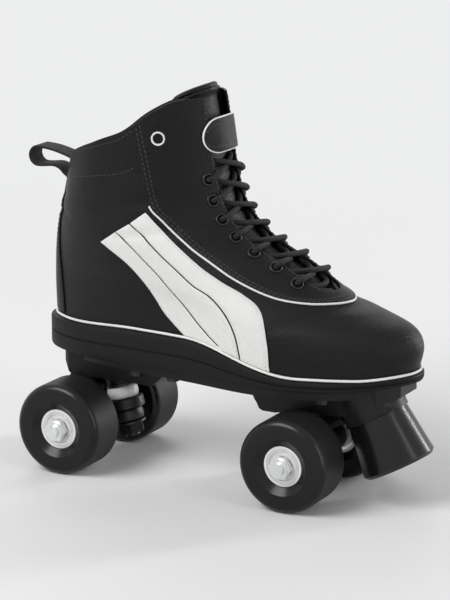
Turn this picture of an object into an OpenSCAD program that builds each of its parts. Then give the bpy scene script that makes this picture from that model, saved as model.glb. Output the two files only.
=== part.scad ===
// Quad roller skate for the right foot: lace-up boot, moulded sole, plate,
// two sprung trucks, four wheels and a toe stop.
// Millimetres. +X points to the toe, +Y to the inner side of the foot, +Z up.
// The wheels stand on z = 0.

/* [Wheels] */
// Outer diameter of a wheel
wheel_d = 58; // [54:0.5:62]
// Width of a tyre
wheel_w = 31; // [29:0.5:33]
// Rounding of a tyre's two edges
tyre_edge_r = 5; // [3:0.5:7]
// Diameter of a hub at its two faces
hub_d = 25; // [24.5:0.1:27]
// Diameter of the hub's collar inside the tyre
hub_collar_d = 31; // [29:0.5:34]
// Width of the hub's collar
hub_collar_w = 12; // [8:0.5:16]
// Distance between the outer faces of a wheel's two bearings
hub_w = 24; // [22:0.5:26]
// Diameter of the dish in a tyre's side
dish_d = 35; // [33:0.5:40]

/* [Bearings] */
// Outer diameter of a bearing
bearing_od = 22; // [21.5:0.1:22.5]
// Bore of a bearing
bearing_id = 8; // [7.5:0.1:8.5]
// Width of a bearing
bearing_w = 7; // [6.5:0.1:7.5]
// Diameter of a bearing's balls
ball_d = 3.9; // [3.5:0.1:4.1]
// Balls in a bearing
ball_count = 7; // [6:1:8]
// Thickness of a bearing's shield
shield_t = 0.4; // [0.3:0.1:0.6]

/* [Trucks] */
// Distance between the two axles
wheelbase = 157; // [150:1:162]
// Distance of the rear axle behind the origin
rear_axle_back = 92; // [89:0.5:95]
// Distance between the middles of a truck's two wheels
track = 76; // [74:0.5:79]
// Height of the sole's underside above the axles
ride_height = 43; // [41:0.5:47]
// Diameter of the axle housing
housing_d = 16; // [14:0.5:17]
// Diameter of the housing's shoulders beside the wheels
shoulder_d = 12; // [11:0.5:13]
// Distance from the axle to the kingpin ring, towards the arch
ring_ahead = 19; // [18.5:0.1:20]
// Height of the kingpin ring above the axle
ring_up = 7; // [6:0.1:8]
// Distance from the axle to the pivot, away from the arch
pivot_back = 8; // [6:0.1:9]
// Height of the pivot above the axle
pivot_up = 21; // [20:0.1:22]
// Tilt of the kingpin from upright
kingpin_tilt = 15; // [12:0.5:17]
// Diameter of the kingpin
kingpin_d = 9; // [8:0.5:10]
// Outer diameter of the hanger's ring
ring_od = 24; // [22:0.5:25]
// Thickness of the hanger's ring
ring_t = 6; // [5:0.5:7]
// Diameter of the pivot pin
pivot_d = 8; // [7:0.5:9]
// Height of one cushion
cushion_h = 8.4; // [7.5:0.1:9]
// Diameter of a cushion at its middle
cushion_d = 20; // [18:0.5:21]
// Thickness of a cushion's steel washer
cushion_washer_t = 1.2; // [0.8:0.1:1.6]
// Height of a kingpin nut
kingpin_nut_h = 6; // [5:0.5:7]
// Height of an axle nut
axle_nut_h = 5; // [4:0.5:6]
// Width across an axle nut's corners
axle_nut_d = 15; // [14:0.5:16]
// Thread showing past an axle nut
axle_tip = 2; // [1:0.5:4]

/* [Plate] */
// Thickness of the plate
plate_t = 6.5; // [5:0.5:8]
// Distance of the plate's edge inside the boot's outline
plate_inset = 6; // [5:0.5:9]
// Height of the truck blocks' underside above the axles
block_up = 26; // [25:0.5:28]
// Width of a truck block
block_w = 34; // [30:0.5:36]
// Diameter of a plate bolt
plate_bolt_d = 5; // [4:0.5:6]
// Depth of a plate bolt in the sole
plate_bolt_in = 5; // [4:0.5:6]

/* [Toe stop] */
// Diameter of the toe stop at its platform
toe_stop_top_d = 38; // [34:0.5:40]
// Diameter of the toe stop at its foot
toe_stop_foot_d = 46; // [42:0.5:50]
// Height of the toe stop
toe_stop_h = 33; // [28:0.5:35]
// Tilt of the toe stop from upright
toe_stop_tilt = 28; // [24:0.5:32]
// Distance from the toe's tip back to the middle of the toe stop
toe_stop_back = 22; // [20:0.5:24]
// Height of the platform's middle above the axles
toe_stop_up = 24; // [23:0.5:26]
// Diameter of the toe stop's bolt
toe_bolt_d = 8; // [6:0.5:10]

/* [Boot] */
// Distance of the upper's heel behind the origin
heel_back = 119; // [116:0.5:122]
// Distance of the upper's toe ahead of the origin
toe_ahead = 125.5; // [123:0.5:129]
// Width of the upper at the heel
heel_w = 66; // [62:0.5:72]
// Width of the upper at the arch
arch_w = 68; // [64:0.5:74]
// Width of the upper at the ball of the foot
ball_w = 86; // [80:0.5:92]
// Width of the upper round the ankle
ankle_w = 74; // [70:0.5:78]
// Lean of the toe towards the inner side
toe_lean = 6; // [3:0.5:8]
// Height of the collar at the heel above the sole's underside
collar_back_h = 124; // [118:1:130]
// Height of the collar at the front above the sole's underside
collar_front_h = 169; // [163:1:175]
// Thickness of the upper's leather
upper_t = 2; // [1.6:0.1:2.4]
// Thickness of the padded lining
lining_t = 3; // [2:0.1:4]
// Half width of the upper's opening under the eyestay
throat_half = 24; // [22:0.5:27]
// Half width of the gap between the eyestay's edges
lace_gap_half = 13; // [12:0.5:14]
// Thickness of the eyestay
eyestay_t = 1.3; // [1:0.1:1.6]
// Thickness of the tongue
tongue_t = 5; // [4:0.5:6]
// Room between the lining and the tongue's face
tongue_gap = 1; // [0.6:0.1:1.6]

/* [Sole] */
// Thickness of the sole at the back of the heel
sole_heel_t = 20; // [18:0.5:22]
// Thickness of the sole under the arch, where it is thickest
sole_arch_t = 23; // [21:0.5:26]
// Thickness of the sole under the ball of the foot
sole_ball_t = 7.5; // [7:0.5:9]
// Rise of the sole's rim at the toe
sole_toe_rise = 2; // [1:0.5:4]
// Rise of the sole's underside at the toe
toe_spring = 4; // [2:0.5:7]
// Overhang of the sole's rim past the upper
rim = 3; // [2.6:0.1:4]
// Further overhang of the rim behind the heel
heel_rim = 2; // [0:0.5:3]
// Thickness of the insole
insole_t = 4; // [3:0.5:6]
// Diameter of the piping along the rim
piping_d = 1.7; // [1.4:0.1:2.2]

/* [Lacing] */
// Pairs of eyelets
lace_rows = 7; // [5:1:7]
// Diameter of the lace
lace_d = 3.8; // [3.4:0.1:3.9]
// Distance of the eyelets from the middle of the instep
eyelet_half = 18; // [17.5:0.1:19]
// Bore of an eyelet
eyelet_bore = 4.6; // [4.5:0.1:4.9]
// Diameter of an eyelet's flange
eyelet_d = 8.4; // [7.6:0.1:9]

/* [Trim] */
// Thickness of the side stripes
stripe_t = 1; // [0.8:0.1:1.4]
// Thickness of the ankle strap
strap_t = 2.2; // [1.8:0.1:2.6]
// Width of the pull loop's webbing
loop_w = 14; // [10:1:18]
// Thickness of the pull loop's webbing
loop_t = 2; // [1.6:0.1:2.4]
// Reach of the pull loop behind the heel
loop_reach = 31; // [27:1:36]

/* [Hidden] */
$fn = 64;

fit = 0.05;
gap = 0.3;
rear = 0;
front = 1;
axle_z = wheel_d/2;
sole_z = axle_z + ride_height;
front_axle_x = wheelbase - rear_axle_back;
axle_d = bearing_id - 2*fit;
hub_half = hub_w/2;
spacer_t = 1;
shoulder_half = track/2 - hub_half - spacer_t;
housing_half = track/2 - wheel_w/2 - 2;
axle_half = track/2 + hub_half + spacer_t + axle_nut_h + axle_tip;
inner_ring_od = bearing_id + 4;
outer_ring_id = bearing_od - 4;
steer_run = norm([ring_ahead + pivot_back, pivot_up - ring_up]);
steer_pitch = atan2(pivot_up - ring_up, ring_ahead + pivot_back);
ring_half = ring_t/2;
cushion_gap = gap;
seat_k = ring_half + 2*cushion_gap + cushion_h + cushion_washer_t + gap;
nut_k = ring_half + 2*cushion_gap + cushion_h + cushion_washer_t + gap;
ring_hole_d = kingpin_d + 3;
cup_d = pivot_d + 5;
boss_d = cup_d + 5;
cup_start = steer_run - 7;
cup_end = steer_run + pivot_d/2 + 2;
kingpin_head_h = 4;
kingpin_low = nut_k + kingpin_nut_h + 2;
kingpin_head_d = kingpin_d + 5;
plate_gap = 0.2;
tongue_depth = upper_t + 2*gap + lining_t + tongue_gap;
toe_run = 30;
toe_stop_x = max(front_axle_x + 36, toe_ahead - toe_stop_back);
toe_stop_z = axle_z + toe_stop_up;
collar_v = 10/11;
throat_v = 0.40;
eyestay_v = 0.345;
outline_step = 3;

// Smooth step from 0 at a to 1 at b
function ease(a, b, x) = let(t = max(0, min(1, (x - a)/(b - a)))) t*t*(3 - 2*t);
function mix(a, b, t) = a + (b - a)*t;

// Smooth line through evenly spaced points, t from 0 to 1
function bend(p, t) = let(
    n = len(p) - 1, u = max(0, min(n, t*n)), i = min(n - 1, floor(u)), f = u - i,
    b = p[i], c = p[i + 1],
    a = i > 0 ? p[i - 1] : 2*b - c,
    d = i < n - 1 ? p[i + 2] : 2*c - b)
    (2*b + (c - a)*f + (2*a - 5*b + 4*c - d)*f*f + (3*b - a - 3*c + d)*f*f*f)/2;

// Side view of the boot, heights from the sole's underside
heel_points = [[-heel_back, sole_heel_t], [-heel_back - 1, 46], [-heel_back + 1, 70],
    [-heel_back + 7, 96], [-heel_back + 13, collar_back_h], [-heel_back + 15, collar_back_h + 12]];
front_points = [[toe_ahead, sole_ball_t + sole_toe_rise], [toe_ahead + 3, 25],
    [toe_ahead - 4, 36], [102, 44], [82, 50], [56, 65.5], [28, 80.5], [9.5, 100],
    [2, 124], [-2, 147], [-6, collar_front_h], [-9, collar_front_h + 8]];
function heel_line(v) = bend(heel_points,
    v < collar_v ? 0.8*v/collar_v : 0.8 + 0.2*(v - collar_v)/(1 - collar_v));
function front_line(v) = bend(front_points, v);

// Top of the sole and its underside along the boot
function welt(x) = sole_heel_t + (sole_arch_t - sole_heel_t)*ease(-100, -45, x)
    - (sole_arch_t - sole_ball_t)*ease(-9, 68, x) + sole_toe_rise*ease(100, toe_ahead + 2, x);
function under(x) = toe_spring*ease(76, 130, x);

// Half width of the boot at share s of its length and level v
function girth(s, v) = let(
    up = ease(0, 0.5, v), top = ease(0.5, 1, v),
    heel = mix(mix(heel_w/2, 35, up), 36, top),
    arch = mix(mix(arch_w/2, 36, up), ankle_w/2, top),
    ball = mix(mix(ball_w/2, 42, up), 38, top),
    toe = mix(mix(ball_w/2 - 1, 38, up), 38, top),
    a = mix(heel, arch, ease(0.1, 0.4, s)),
    b = mix(a, ball, ease(0.35, 0.7, s)))
    mix(b, toe, ease(0.7, 0.95, s));
function squareness(v) = 2.9 - 0.8*ease(0, 0.3, v);

// Point of the boot's outside: q goes round from the heel (0) to the toe (180),
// v goes up from the welt (0) to the tongue's top (1)
function skin0(q, v) = let(
    s = (1 - cos(q))/2, h = heel_line(v), f = front_line(v),
    x = mix(h.x, f.x, s),
    z = mix(h.y, f.y, s),
    h0 = heel_points[0], f0 = front_points[0],
    chord = mix(h0.y, f0.y, (x - h0.x)/(f0.x - h0.x)),
    y = sign(sin(q))*girth(s, v)*sqrt(max(0, 1 - pow(abs(cos(q)), squareness(v)))))
    [x, y + toe_lean*ease(0.55, 1, s)*(1 - ease(0.2, 0.6, v)),
     z + (welt(x) - chord)*(1 - ease(0, 0.45, v))];
function facing(q, v) = let(
    a = skin0(q, min(1, v + 0.006)) - skin0(q, max(0, v - 0.006)),
    b = skin0(q + 0.6, v) - skin0(q - 0.6, v), n = cross(a, b)) n/norm(n);
function skin(q, v, off) = off == 0 ? skin0(q, v) : skin0(q, v) + off*facing(q, v);

// Angle at which the outside lies half_w from the middle, near the front
function front_angle(half_w, v) = let(w = girth(1, v))
    180 - acos(pow(max(0, 1 - pow(min(0.98, half_w/w), 2)), 1/squareness(v)));

// Level and angle of a side-view point
function level_at(x, z, lo = 0, hi = 1, n = 16) = n == 0 ? (lo + hi)/2 : let(
    v = (lo + hi)/2, h = heel_line(v), f = front_line(v),
    h0 = heel_points[0], f0 = front_points[0],
    chord = mix(h0.y, f0.y, (x - h0.x)/(f0.x - h0.x)),
    zv = mix(h.y, f.y, (x - h.x)/(f.x - h.x)) + (welt(x) - chord)*(1 - ease(0, 0.45, v)))
    zv < z ? level_at(x, z, v, hi, n - 1) : level_at(x, z, lo, v, n - 1);
function angle_at(x, v) = let(h = heel_line(v), f = front_line(v))
    acos(max(-1, min(1, 1 - 2*(x - h.x)/(f.x - h.x))));

// Rise and fall of the collar's edge round the ankle
function wave(q, v) = let(s = (1 - cos(q))/2) v + ease(0.55, collar_v, v)
    *(0.036*ease(0.5, 0.95, s)*(1 - ease(0.82, 1, s)) - 0.026*ease(0.02, 0.7, s)*(1 - ease(0.45, 0.75, s)));

// Closed solid between two grids of points; present(i, j) says which cells exist
module sheet(outer, inner, present, ring = false) {
    rows = len(outer);
    cols = len(outer[0]);
    span = ring ? cols : cols - 1;
    id = function(layer, i, j) layer*rows*cols + j*cols + (i + cols)%cols;
    has = function(i, j) j >= 0 && j < rows - 1
        && (ring || (i >= 0 && i < span)) && present((i + cols)%cols, j);
    points = [for (g = [outer, inner]) for (r = g) for (p = r) p];
    faces = [for (j = [0:rows - 2]) for (i = [0:span - 1]) if (has(i, j)) let(
        a = id(0, i, j), b = id(0, i + 1, j), c = id(0, i + 1, j + 1), d = id(0, i, j + 1),
        e = id(1, i, j), f = id(1, i + 1, j), g = id(1, i + 1, j + 1), h = id(1, i, j + 1))
        each concat([[a, b, c], [a, c, d], [e, g, f], [e, h, g]],
            has(i, j - 1) ? [] : [[b, a, e], [b, e, f]],
            has(i + 1, j) ? [] : [[c, b, f], [c, f, g]],
            has(i, j + 1) ? [] : [[d, c, g], [d, g, h]],
            has(i - 1, j) ? [] : [[a, d, h], [a, h, e]])];
    translate([0, 0, sole_z]) polyhedron(points, faces, convexity = 8);
}

// Places a child with its z axis on the skin's outward direction
module on_skin(q, v, off) {
    n = facing(q, v);
    translate([0, 0, sole_z]) translate(skin(q, v, off))
        rotate([0, acos(n.z), atan2(n.y, n.x)]) children();
}

// Outline of the boot at the welt, grown by off, and by back more at the heel
function outline(off, back = 0) = [for (q = [-180:outline_step:179]) let(
    p = skin0(q, 0), t = skin0(q + 1, 0) - skin0(q - 1, 0), n = [-t.y, t.x]/norm([t.x, t.y]))
    [p.x, p.y] + (off + back*ease(-0.2, 0.8, cos(q)))*n];

// Angles of the boot's columns: sides up to the throat's edge, then the throat
side_cols = 20;
throat_cols = 4;
half_cols = side_cols + throat_cols;
function column_angle(k, v, half_w) = let(edge = front_angle(half_w, v), n = abs(k))
    sign(k)*(n <= side_cols ? edge*n/side_cols
        : mix(edge, 180, (n - side_cols)/throat_cols));
low_rows = 11;
function shell_levels(v0, top, rows) = concat(
    [for (j = [0:low_rows - 1]) mix(v0, throat_v, j/low_rows)],
    [for (j = [0:rows]) mix(throat_v, top, j/rows)]);

module shell(off, thick, v0, top, rows) {
    levels = shell_levels(v0, top, rows);
    grid = function(o) [for (v = levels) [for (k = [-half_cols:half_cols - 1]) let(
        q = column_angle(k, v, throat_half)) skin(q, wave(q, v), o)]];
    sheet(grid(off), grid(off - thick), function(i, j) j < low_rows
        || (i >= throat_cols && i < 2*half_cols - throat_cols), ring = true);
}

module boot_upper() color("#1d1d20") shell(0, upper_t, 0.004, collar_v, 12);

module boot_lining() color("#2b2b2f")
    shell(-upper_t - 2*gap, lining_t, 0.012, collar_v + 0.012, 9);

// Padded tongue under the lacing, standing a little above the collar
tongue_rows = 18;
tongue_cols = 8;
tongue_top_v = 0.958;
tongue_lean = 6;
module tongue() {
    face = function(off) [for (j = [0:tongue_rows]) let(u = mix(throat_v - 0.03, tongue_top_v, j/tongue_rows))
        [for (i = [-tongue_cols:tongue_cols]) let(
            share = abs(i)/tongue_cols, half = mix(20, throat_half + 2, ease(0.35, 0.85, u)),
            v = u - 0.03*pow(share, 6)*ease(0.8, 1, u), q = front_angle(share*half, v),
            puff = 1 - 0.5*share*share, lean = tongue_lean*(1 - share*share)*ease(0.9, 0.97, u))
            skin(i < 0 ? -q : q, v, lean - tongue_depth
                - (off < 0 ? 0.4*(1 - puff) : tongue_t*puff))]];
    color("#26262a") sheet(face(1), face(-1), function(i, j) true);
}

// Insole on the sole's top inside the lining
insole_cols = 24;
module insole() {
    inset = upper_t + lining_t + 3*gap + 2.2;
    bed = function(h) [for (j = [-2:2]) [for (i = [0:insole_cols]) let(
        q = mix(12, 168, i/insole_cols), p = skin0(q, 0), o = skin0(-q, 0),
        x = mix(-heel_back + inset, toe_ahead - inset - 3, (1 - cos(180*i/insole_cols))/2),
        s = (x + heel_back)/(toe_ahead + heel_back),
        w = girth(s, 0)*sqrt(max(0.01, 1 - pow(abs(1 - 2*s), squareness(0)))) - inset)
        [x, max(3, w)*j/2 + toe_lean*ease(0.55, 1, s), welt(x) + h]]];
    color("#3a3a3e") sheet(bed(gap), bed(insole_t + gap), function(i, j) true);
}

// Facing that carries the eyelets, round the throat
eyestay_rows = 17;
eyestay_side = 5;
eyestay_mid = 3;
eyestay_half_cols = eyestay_side + eyestay_mid;
seam_angles = [166, 131, 124, 122.5, 120, 115.5, 111, 109, 107, 105, 104];
function seam_angle(v) = bend(seam_angles, (v - eyestay_v)/(collar_v - eyestay_v));
function eyestay_angle(k, v) = let(
    n = abs(k), seam = seam_angle(v), edge = max(seam + 3, front_angle(lace_gap_half, v)))
    sign(k)*(n <= eyestay_mid ? mix(180, edge, n/eyestay_mid)
        : mix(edge, seam, (n - eyestay_mid)/eyestay_side));
function eyestay_level(j) = j < 4 ? mix(eyestay_v, throat_v, j/4)
    : mix(throat_v, collar_v - 0.004, (j - 4)/(eyestay_rows - 4));
eyelet_first = 0.42;
eyelet_last = 0.71;
function eyelet_level(r) = mix(eyelet_first, eyelet_last, r/(lace_rows - 1));
function eyelet_angle(v) = front_angle(eyelet_half, v);
eyelet_barrel_d = eyelet_bore + 1.2;
eyelet_top = gap + eyestay_t + 1;

module eyestay() {
    grid = function(o) [for (j = [0:eyestay_rows]) let(v = eyestay_level(j))
        [for (k = [-eyestay_half_cols:eyestay_half_cols]) let(
            q = k == 0 ? 180 : eyestay_angle(k, v)) skin(q, wave(q, v), o)]];
    color("#1a1a1c") difference() {
        sheet(grid(gap), grid(gap + eyestay_t), function(i, j) j < 4
            || i < eyestay_side || i >= eyestay_side + 2*eyestay_mid);
        for (r = [0:lace_rows - 1], side = [-1, 1]) let(v = eyelet_level(r))
            on_skin(side*eyelet_angle(v), v, -4)
                cylinder(d = eyelet_barrel_d + 2*gap, h = 10, $fn = 32);
    }
}

module eyelets() color("#303033")
    for (r = [0:lace_rows - 1], side = [-1, 1]) let(v = eyelet_level(r), top = eyelet_top - 0.6)
        on_skin(side*eyelet_angle(v), v, 0) difference() {
            union() {
                translate([0, 0, top]) cylinder(d = eyelet_d, h = 0.6, $fn = 32);
                translate([0, 0, -0.2]) cylinder(d = eyelet_barrel_d, h = top + 0.5, $fn = 32);
            }
            translate([0, 0, -1]) cylinder(d = eyelet_bore, h = 6, $fn = 32);
        }

// Lace: from a tucked end up and down the rows, crossing at each, to the other end
lace_under = gap - 0.4 - lace_d/2;
lace_over = eyelet_top + 0.3 + lace_d/2;
cross_gap = lace_d + 0.7;
lace_step = (eyelet_last - eyelet_first)/(lace_rows - 1);
// One crossing from the eyelet on a side at level v to the other side, as [across, off, level]
function crossing(side, v, over) = [
    [side*eyelet_half, lace_under - 0.2, v],
    [side*eyelet_half, 0.6, v],
    [side*eyelet_half, eyelet_top + 0.1, v],
    [side*(eyelet_half - 0.7), eyelet_top + 1.55, v + 0.02*lace_step],
    [side*(eyelet_half - 2.6), lace_over, v + 0.08*lace_step],
    [side*(eyelet_half - 7), lace_over - (over ? 0.2 : 0.5), v + 0.26*lace_step],
    [0, over ? lace_over - 0.9 : lace_over - 0.9 - cross_gap, v + 0.5*lace_step],
    [-side*(lace_gap_half - 5), over ? 0.9 : lace_under + 0.1, v + 0.7*lace_step],
    [-side*(lace_gap_half + 0.5), lace_under, v + 0.88*lace_step]];
function lace_half(side) = concat(
    [for (r = [0:lace_rows - 1]) let(s = r%2 == 0 ? side : -side)
        each crossing(s, eyelet_level(r), s > 0)],
    let(s = lace_rows%2 == 0 ? side : -side, v = eyelet_last + lace_step)
        [[s*(eyelet_half - 1), lace_under, v], [s*(eyelet_half + 1), lace_under, v + 0.03],
         [s*(eyelet_half + 2), lace_under, v + 0.06]]);
function reversed(p) = [for (i = [len(p) - 1:-1:0]) p[i]];
function lace_route() = concat(reversed(lace_half(1)),
    [[eyelet_half*0.4, lace_under, eyelet_first - 0.004],
     [-eyelet_half*0.4, lace_under, eyelet_first - 0.004]], lace_half(-1));
function lace_place(p) = let(q = front_angle(abs(p.x), p.z))
    skin(p.x < 0 ? -q : q, p.z, p.y);

// Tube along a route of points
function tube_frames(p, i = 0, up = [0, 0, 1], out = []) = i == len(p) ? out : let(
    d = p[min(len(p) - 1, i + 1)] - p[max(0, i - 1)], t = d/norm(d),
    u0 = up - (up*t)*t, u = u0/norm(u0))
    tube_frames(p, i + 1, u, concat(out, [[u, cross(t, u)]]));
module tube(p, d, sides) {
    n = len(p);
    f = tube_frames(p);
    points = [for (i = [0:n - 1]) for (k = [0:sides - 1])
        p[i] + d/2*(cos(360*k/sides)*f[i][0] + sin(360*k/sides)*f[i][1])];
    faces = concat(
        [for (i = [0:n - 2]) for (k = [0:sides - 1]) let(
            a = i*sides + k, b = i*sides + (k + 1)%sides)
            each [[a, b + sides, b], [a, a + sides, b + sides]]],
        [for (k = [1:sides - 2]) [0, k, k + 1]],
        [for (k = [1:sides - 2]) let(o = (n - 1)*sides) [o, o + k + 1, o + k]]);
    polyhedron(points, faces, convexity = 10);
}
module laces() {
    route = [for (p = lace_route()) lace_place(p)];
    color("#202022") translate([0, 0, sole_z]) tube(route, lace_d, 8);
}

// Round-ended strap over the front of the collar, sewn on at the inner side
strap_cols = 18;
strap_v = 0.807;
strap_half = 0.039;
module ankle_strap() {
    face = function(o) [for (j = [-2:2]) [for (i = [0:strap_cols]) let(
        t = i/strap_cols, q = mix(116, 207, t),
        tip = sqrt(max(0.04, 1 - pow(max(0, (t - 0.84)/0.16), 2))))
        skin(q, strap_v + strap_half*tip*j/2, o)]];
    low = gap + eyestay_t + gap;
    color("#222226") sheet(face(low + strap_t), face(low), function(i, j) true);
}

// Vent eyelet in the outer side of the collar
module ankle_eyelet() color("#e8e8e4") on_skin(-121, 0.84, gap + eyestay_t + 0.15) difference() {
    cylinder(d = 10, h = 1.1, $fn = 48);
    translate([0, 0, -1]) cylinder(d = 6.5, h = 4, $fn = 48);
}

// Webbing loop sewn to the back of the collar
loop_r = 6.4;
loop_bow = [-heel_back + 12 - loop_reach + loop_r, collar_back_h - 4];
function loop_seat(v, off) = heel_line(v) - [0.4 + off, 0];
// Run of the webbing in side view, off in from its outer face
function loop_run(off) = concat([loop_seat(0.875, off) + [0, 2 - 1.1*off]],
    [for (a = [90:15:270]) loop_bow + (loop_r - off)*[cos(a), sin(a)]],
    [[loop_bow.x + 13, loop_bow.y - loop_r + off]]);
loop_tail = concat([loop_seat(0.83, 4) - [0, 1.5], loop_seat(0.80, loop_t + 0.3)],
    [for (v = [0.775, 0.76]) loop_seat(v, loop_t)],
    [for (v = [0.76, 0.78, 0.80, 0.82, 0.84, 0.86]) loop_seat(v, 0)]);
module pull_loop() color("#1c1c1e") translate([0, 0, sole_z]) rotate([90, 0, 0])
    linear_extrude(loop_w, center = true) difference() {
        polygon(concat(loop_run(0), loop_tail));
        polygon(concat(loop_run(loop_t), [loop_seat(0.845, loop_t)]));
    }

// Strip up the middle of the heel
module backstay() {
    face = function(o) [for (j = [0:14]) [for (i = [-3:3])
        skin(i*(9 - 2*j/14), mix(0.05, 0.69, j/14), o)]];
    color("#17171a") sheet(face(gap + 1.2), face(gap), function(i, j) true);
}

// Flared side stripes: four edges in side view, from the ankle down to the welt
stripe_edges = [
    [[-69, 76], [-60, 71], [-51, 66], [-43, 60], [-36, 53], [-30, 45], [-24, 37], [-16, 30], [-8, 24]],
    [[-57, 84], [-46, 77], [-36, 69], [-26, 61], [-17, 52], [-8, 43], [1, 34], [11, 26], [22, 19]],
    [[-45, 91], [-34, 83], [-23, 74], [-12, 66], [-1, 58], [11, 52], [21, 43], [28, 31], [32, 16]],
    [[-34, 99], [-22, 88], [-10, 78], [3, 69], [17, 61], [31, 54], [43, 45], [49, 29], [51, 11]]];
stripe_rows = 13;
stripe_cols = 3;
stripe_slit = 1.2;
function stripe_point(b, across, along) = let(
    l = bend(stripe_edges[b], along), r = bend(stripe_edges[b + 1], along),
    w = norm(r - l), cut = stripe_slit/2/w) mix(l, r, mix(b > 0 ? cut : 0, b < 2 ? 1 - cut : 1, across));
module stripes(side) for (b = [0:2]) {
    face = function(o) [for (j = [0:stripe_rows]) [for (i = [0:stripe_cols]) let(
        across = side > 0 ? 1 - i/stripe_cols : i/stripe_cols,
        p = stripe_point(b, across, j/stripe_rows),
        h = max(p.y, welt(p.x) + piping_d + 2*gap), v = level_at(p.x, h), q = angle_at(p.x, v))
        skin(side*q, v, o)]];
    sheet(face(2*gap + stripe_t), face(2*gap), function(i, j) true);
}
module outer_stripes() color("#efefec") stripes(-1);
module inner_stripes() color("#efefec") stripes(1);

// Side view of the sole between two heights, as a polygon of x and z
sole_steps = 44;
function along_x(i) = mix(-heel_back - 8, toe_ahead + 8, i/sole_steps);
module side_slab(low, high) rotate([90, 0, 0]) linear_extrude(160, center = true) polygon(concat(
    [for (i = [0:sole_steps]) [along_x(i), sole_z + low(along_x(i))]],
    [for (i = [sole_steps:-1:0]) [along_x(i), sole_z + high(along_x(i))]]));

// Places of the plate's bolts
bolt_head_d = plate_bolt_d + 3;
bolt_spots = [for (x = [-rear_axle_back + 40, -rear_axle_back + 66, front_axle_x - 40, front_axle_x + 12])
    for (y = [-1, 1]) [x, y*(block_w/2 + bolt_head_d/2 + gap)]];

module outsole() color("#161618") difference() {
    intersection() {
        translate([0, 0, sole_z - 10]) linear_extrude(60) polygon(outline(rim, heel_rim));
        side_slab(function(x) under(x), function(x) welt(x) - gap);
    }
    for (p = bolt_spots) translate([p.x, p.y, sole_z - 10])
        cylinder(d = plate_bolt_d + 2*fit, h = 10 + plate_bolt_in + 0.5, $fn = 32);
}

// Piping laid on the sole's rim against the upper
module welt_piping() {
    points = outline(piping_d/2 + gap);
    n = len(points);
    sides = 6;
    grid = [for (p = points) [p.x, p.y, welt(p.x) + piping_d/2]];
    pts = [for (i = [0:n - 1]) let(
        d = grid[(i + 1)%n] - grid[(i + n - 1)%n], t = d/norm(d),
        u0 = [0, 0, 1] - t.z*t, u = u0/norm(u0), w = cross(t, u))
        for (k = [0:sides - 1]) grid[i] + piping_d/2*(cos(60*k + 30)*u + sin(60*k + 30)*w)];
    faces = [for (i = [0:n - 1]) for (k = [0:sides - 1]) let(
        m = (i + 1)%n, l = (k + 1)%sides, a = i*sides + k, b = i*sides + l,
        c = m*sides + l, d = m*sides + k) each [[a, c, b], [a, d, c]]];
    color("#efefec") translate([0, 0, sole_z]) polyhedron(pts, faces, convexity = 6);
}

// Truck frame: origin in the axle's middle, +X towards the arch
function axle_x(end) = end == front ? front_axle_x : -rear_axle_back;
module at_truck(end) translate([axle_x(end), 0, axle_z]) rotate([0, 0, end == front ? 180 : 0]) children();
// Kingpin frame: origin in the ring's middle, z up the kingpin
module at_kingpin() translate([ring_ahead, 0, ring_up]) rotate([0, -kingpin_tilt, 0]) children();
// Steering frame: origin in the ring's middle, z towards the pivot
module at_steer() translate([ring_ahead, 0, ring_up]) rotate([0, steer_pitch - 90, 0]) children();
module at_toe_stop() translate([toe_stop_x, 0, toe_stop_z]) rotate([0, 180 - toe_stop_tilt, 0]) children();

kingpin_top = (ride_height - 3 - ring_up)/cos(kingpin_tilt);
block_low = block_up - ride_height;
rear_block = [[-16, 3], [-16, block_low + 8], [-12, block_low + 1], [-7, block_low], [48, block_low],
    [56, block_low + 7], [62, block_low + 14], [62, 3]];
front_block = [[-56, 3], [-56, block_low + 13], [-22, block_low - 1], [30, block_low - 1],
    [35, block_low], [36.5, block_low + 2], [38, block_low + 5], [43, block_low + 9], [43, 3]];
// Cheeks that drop beside the front kingpin
front_cheek = [[12, block_low + 1], [17, block_low - 3.5], [22, block_low - 4.5], [31, block_low - 4.5],
    [33.5, block_low - 3.3], [35, block_low], [35, block_low + 4], [12, block_low + 4]];
cheek_t = 4;
module truck_block(end) rotate([90, 0, 0]) {
    linear_extrude(block_w, center = true) polygon(end == front ? front_block : rear_block);
    if (end == front) for (y = [-1, 1]) translate([0, 0, y*(block_w - cheek_t)/2])
        linear_extrude(cheek_t, center = true) polygon(front_cheek);
}

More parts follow.
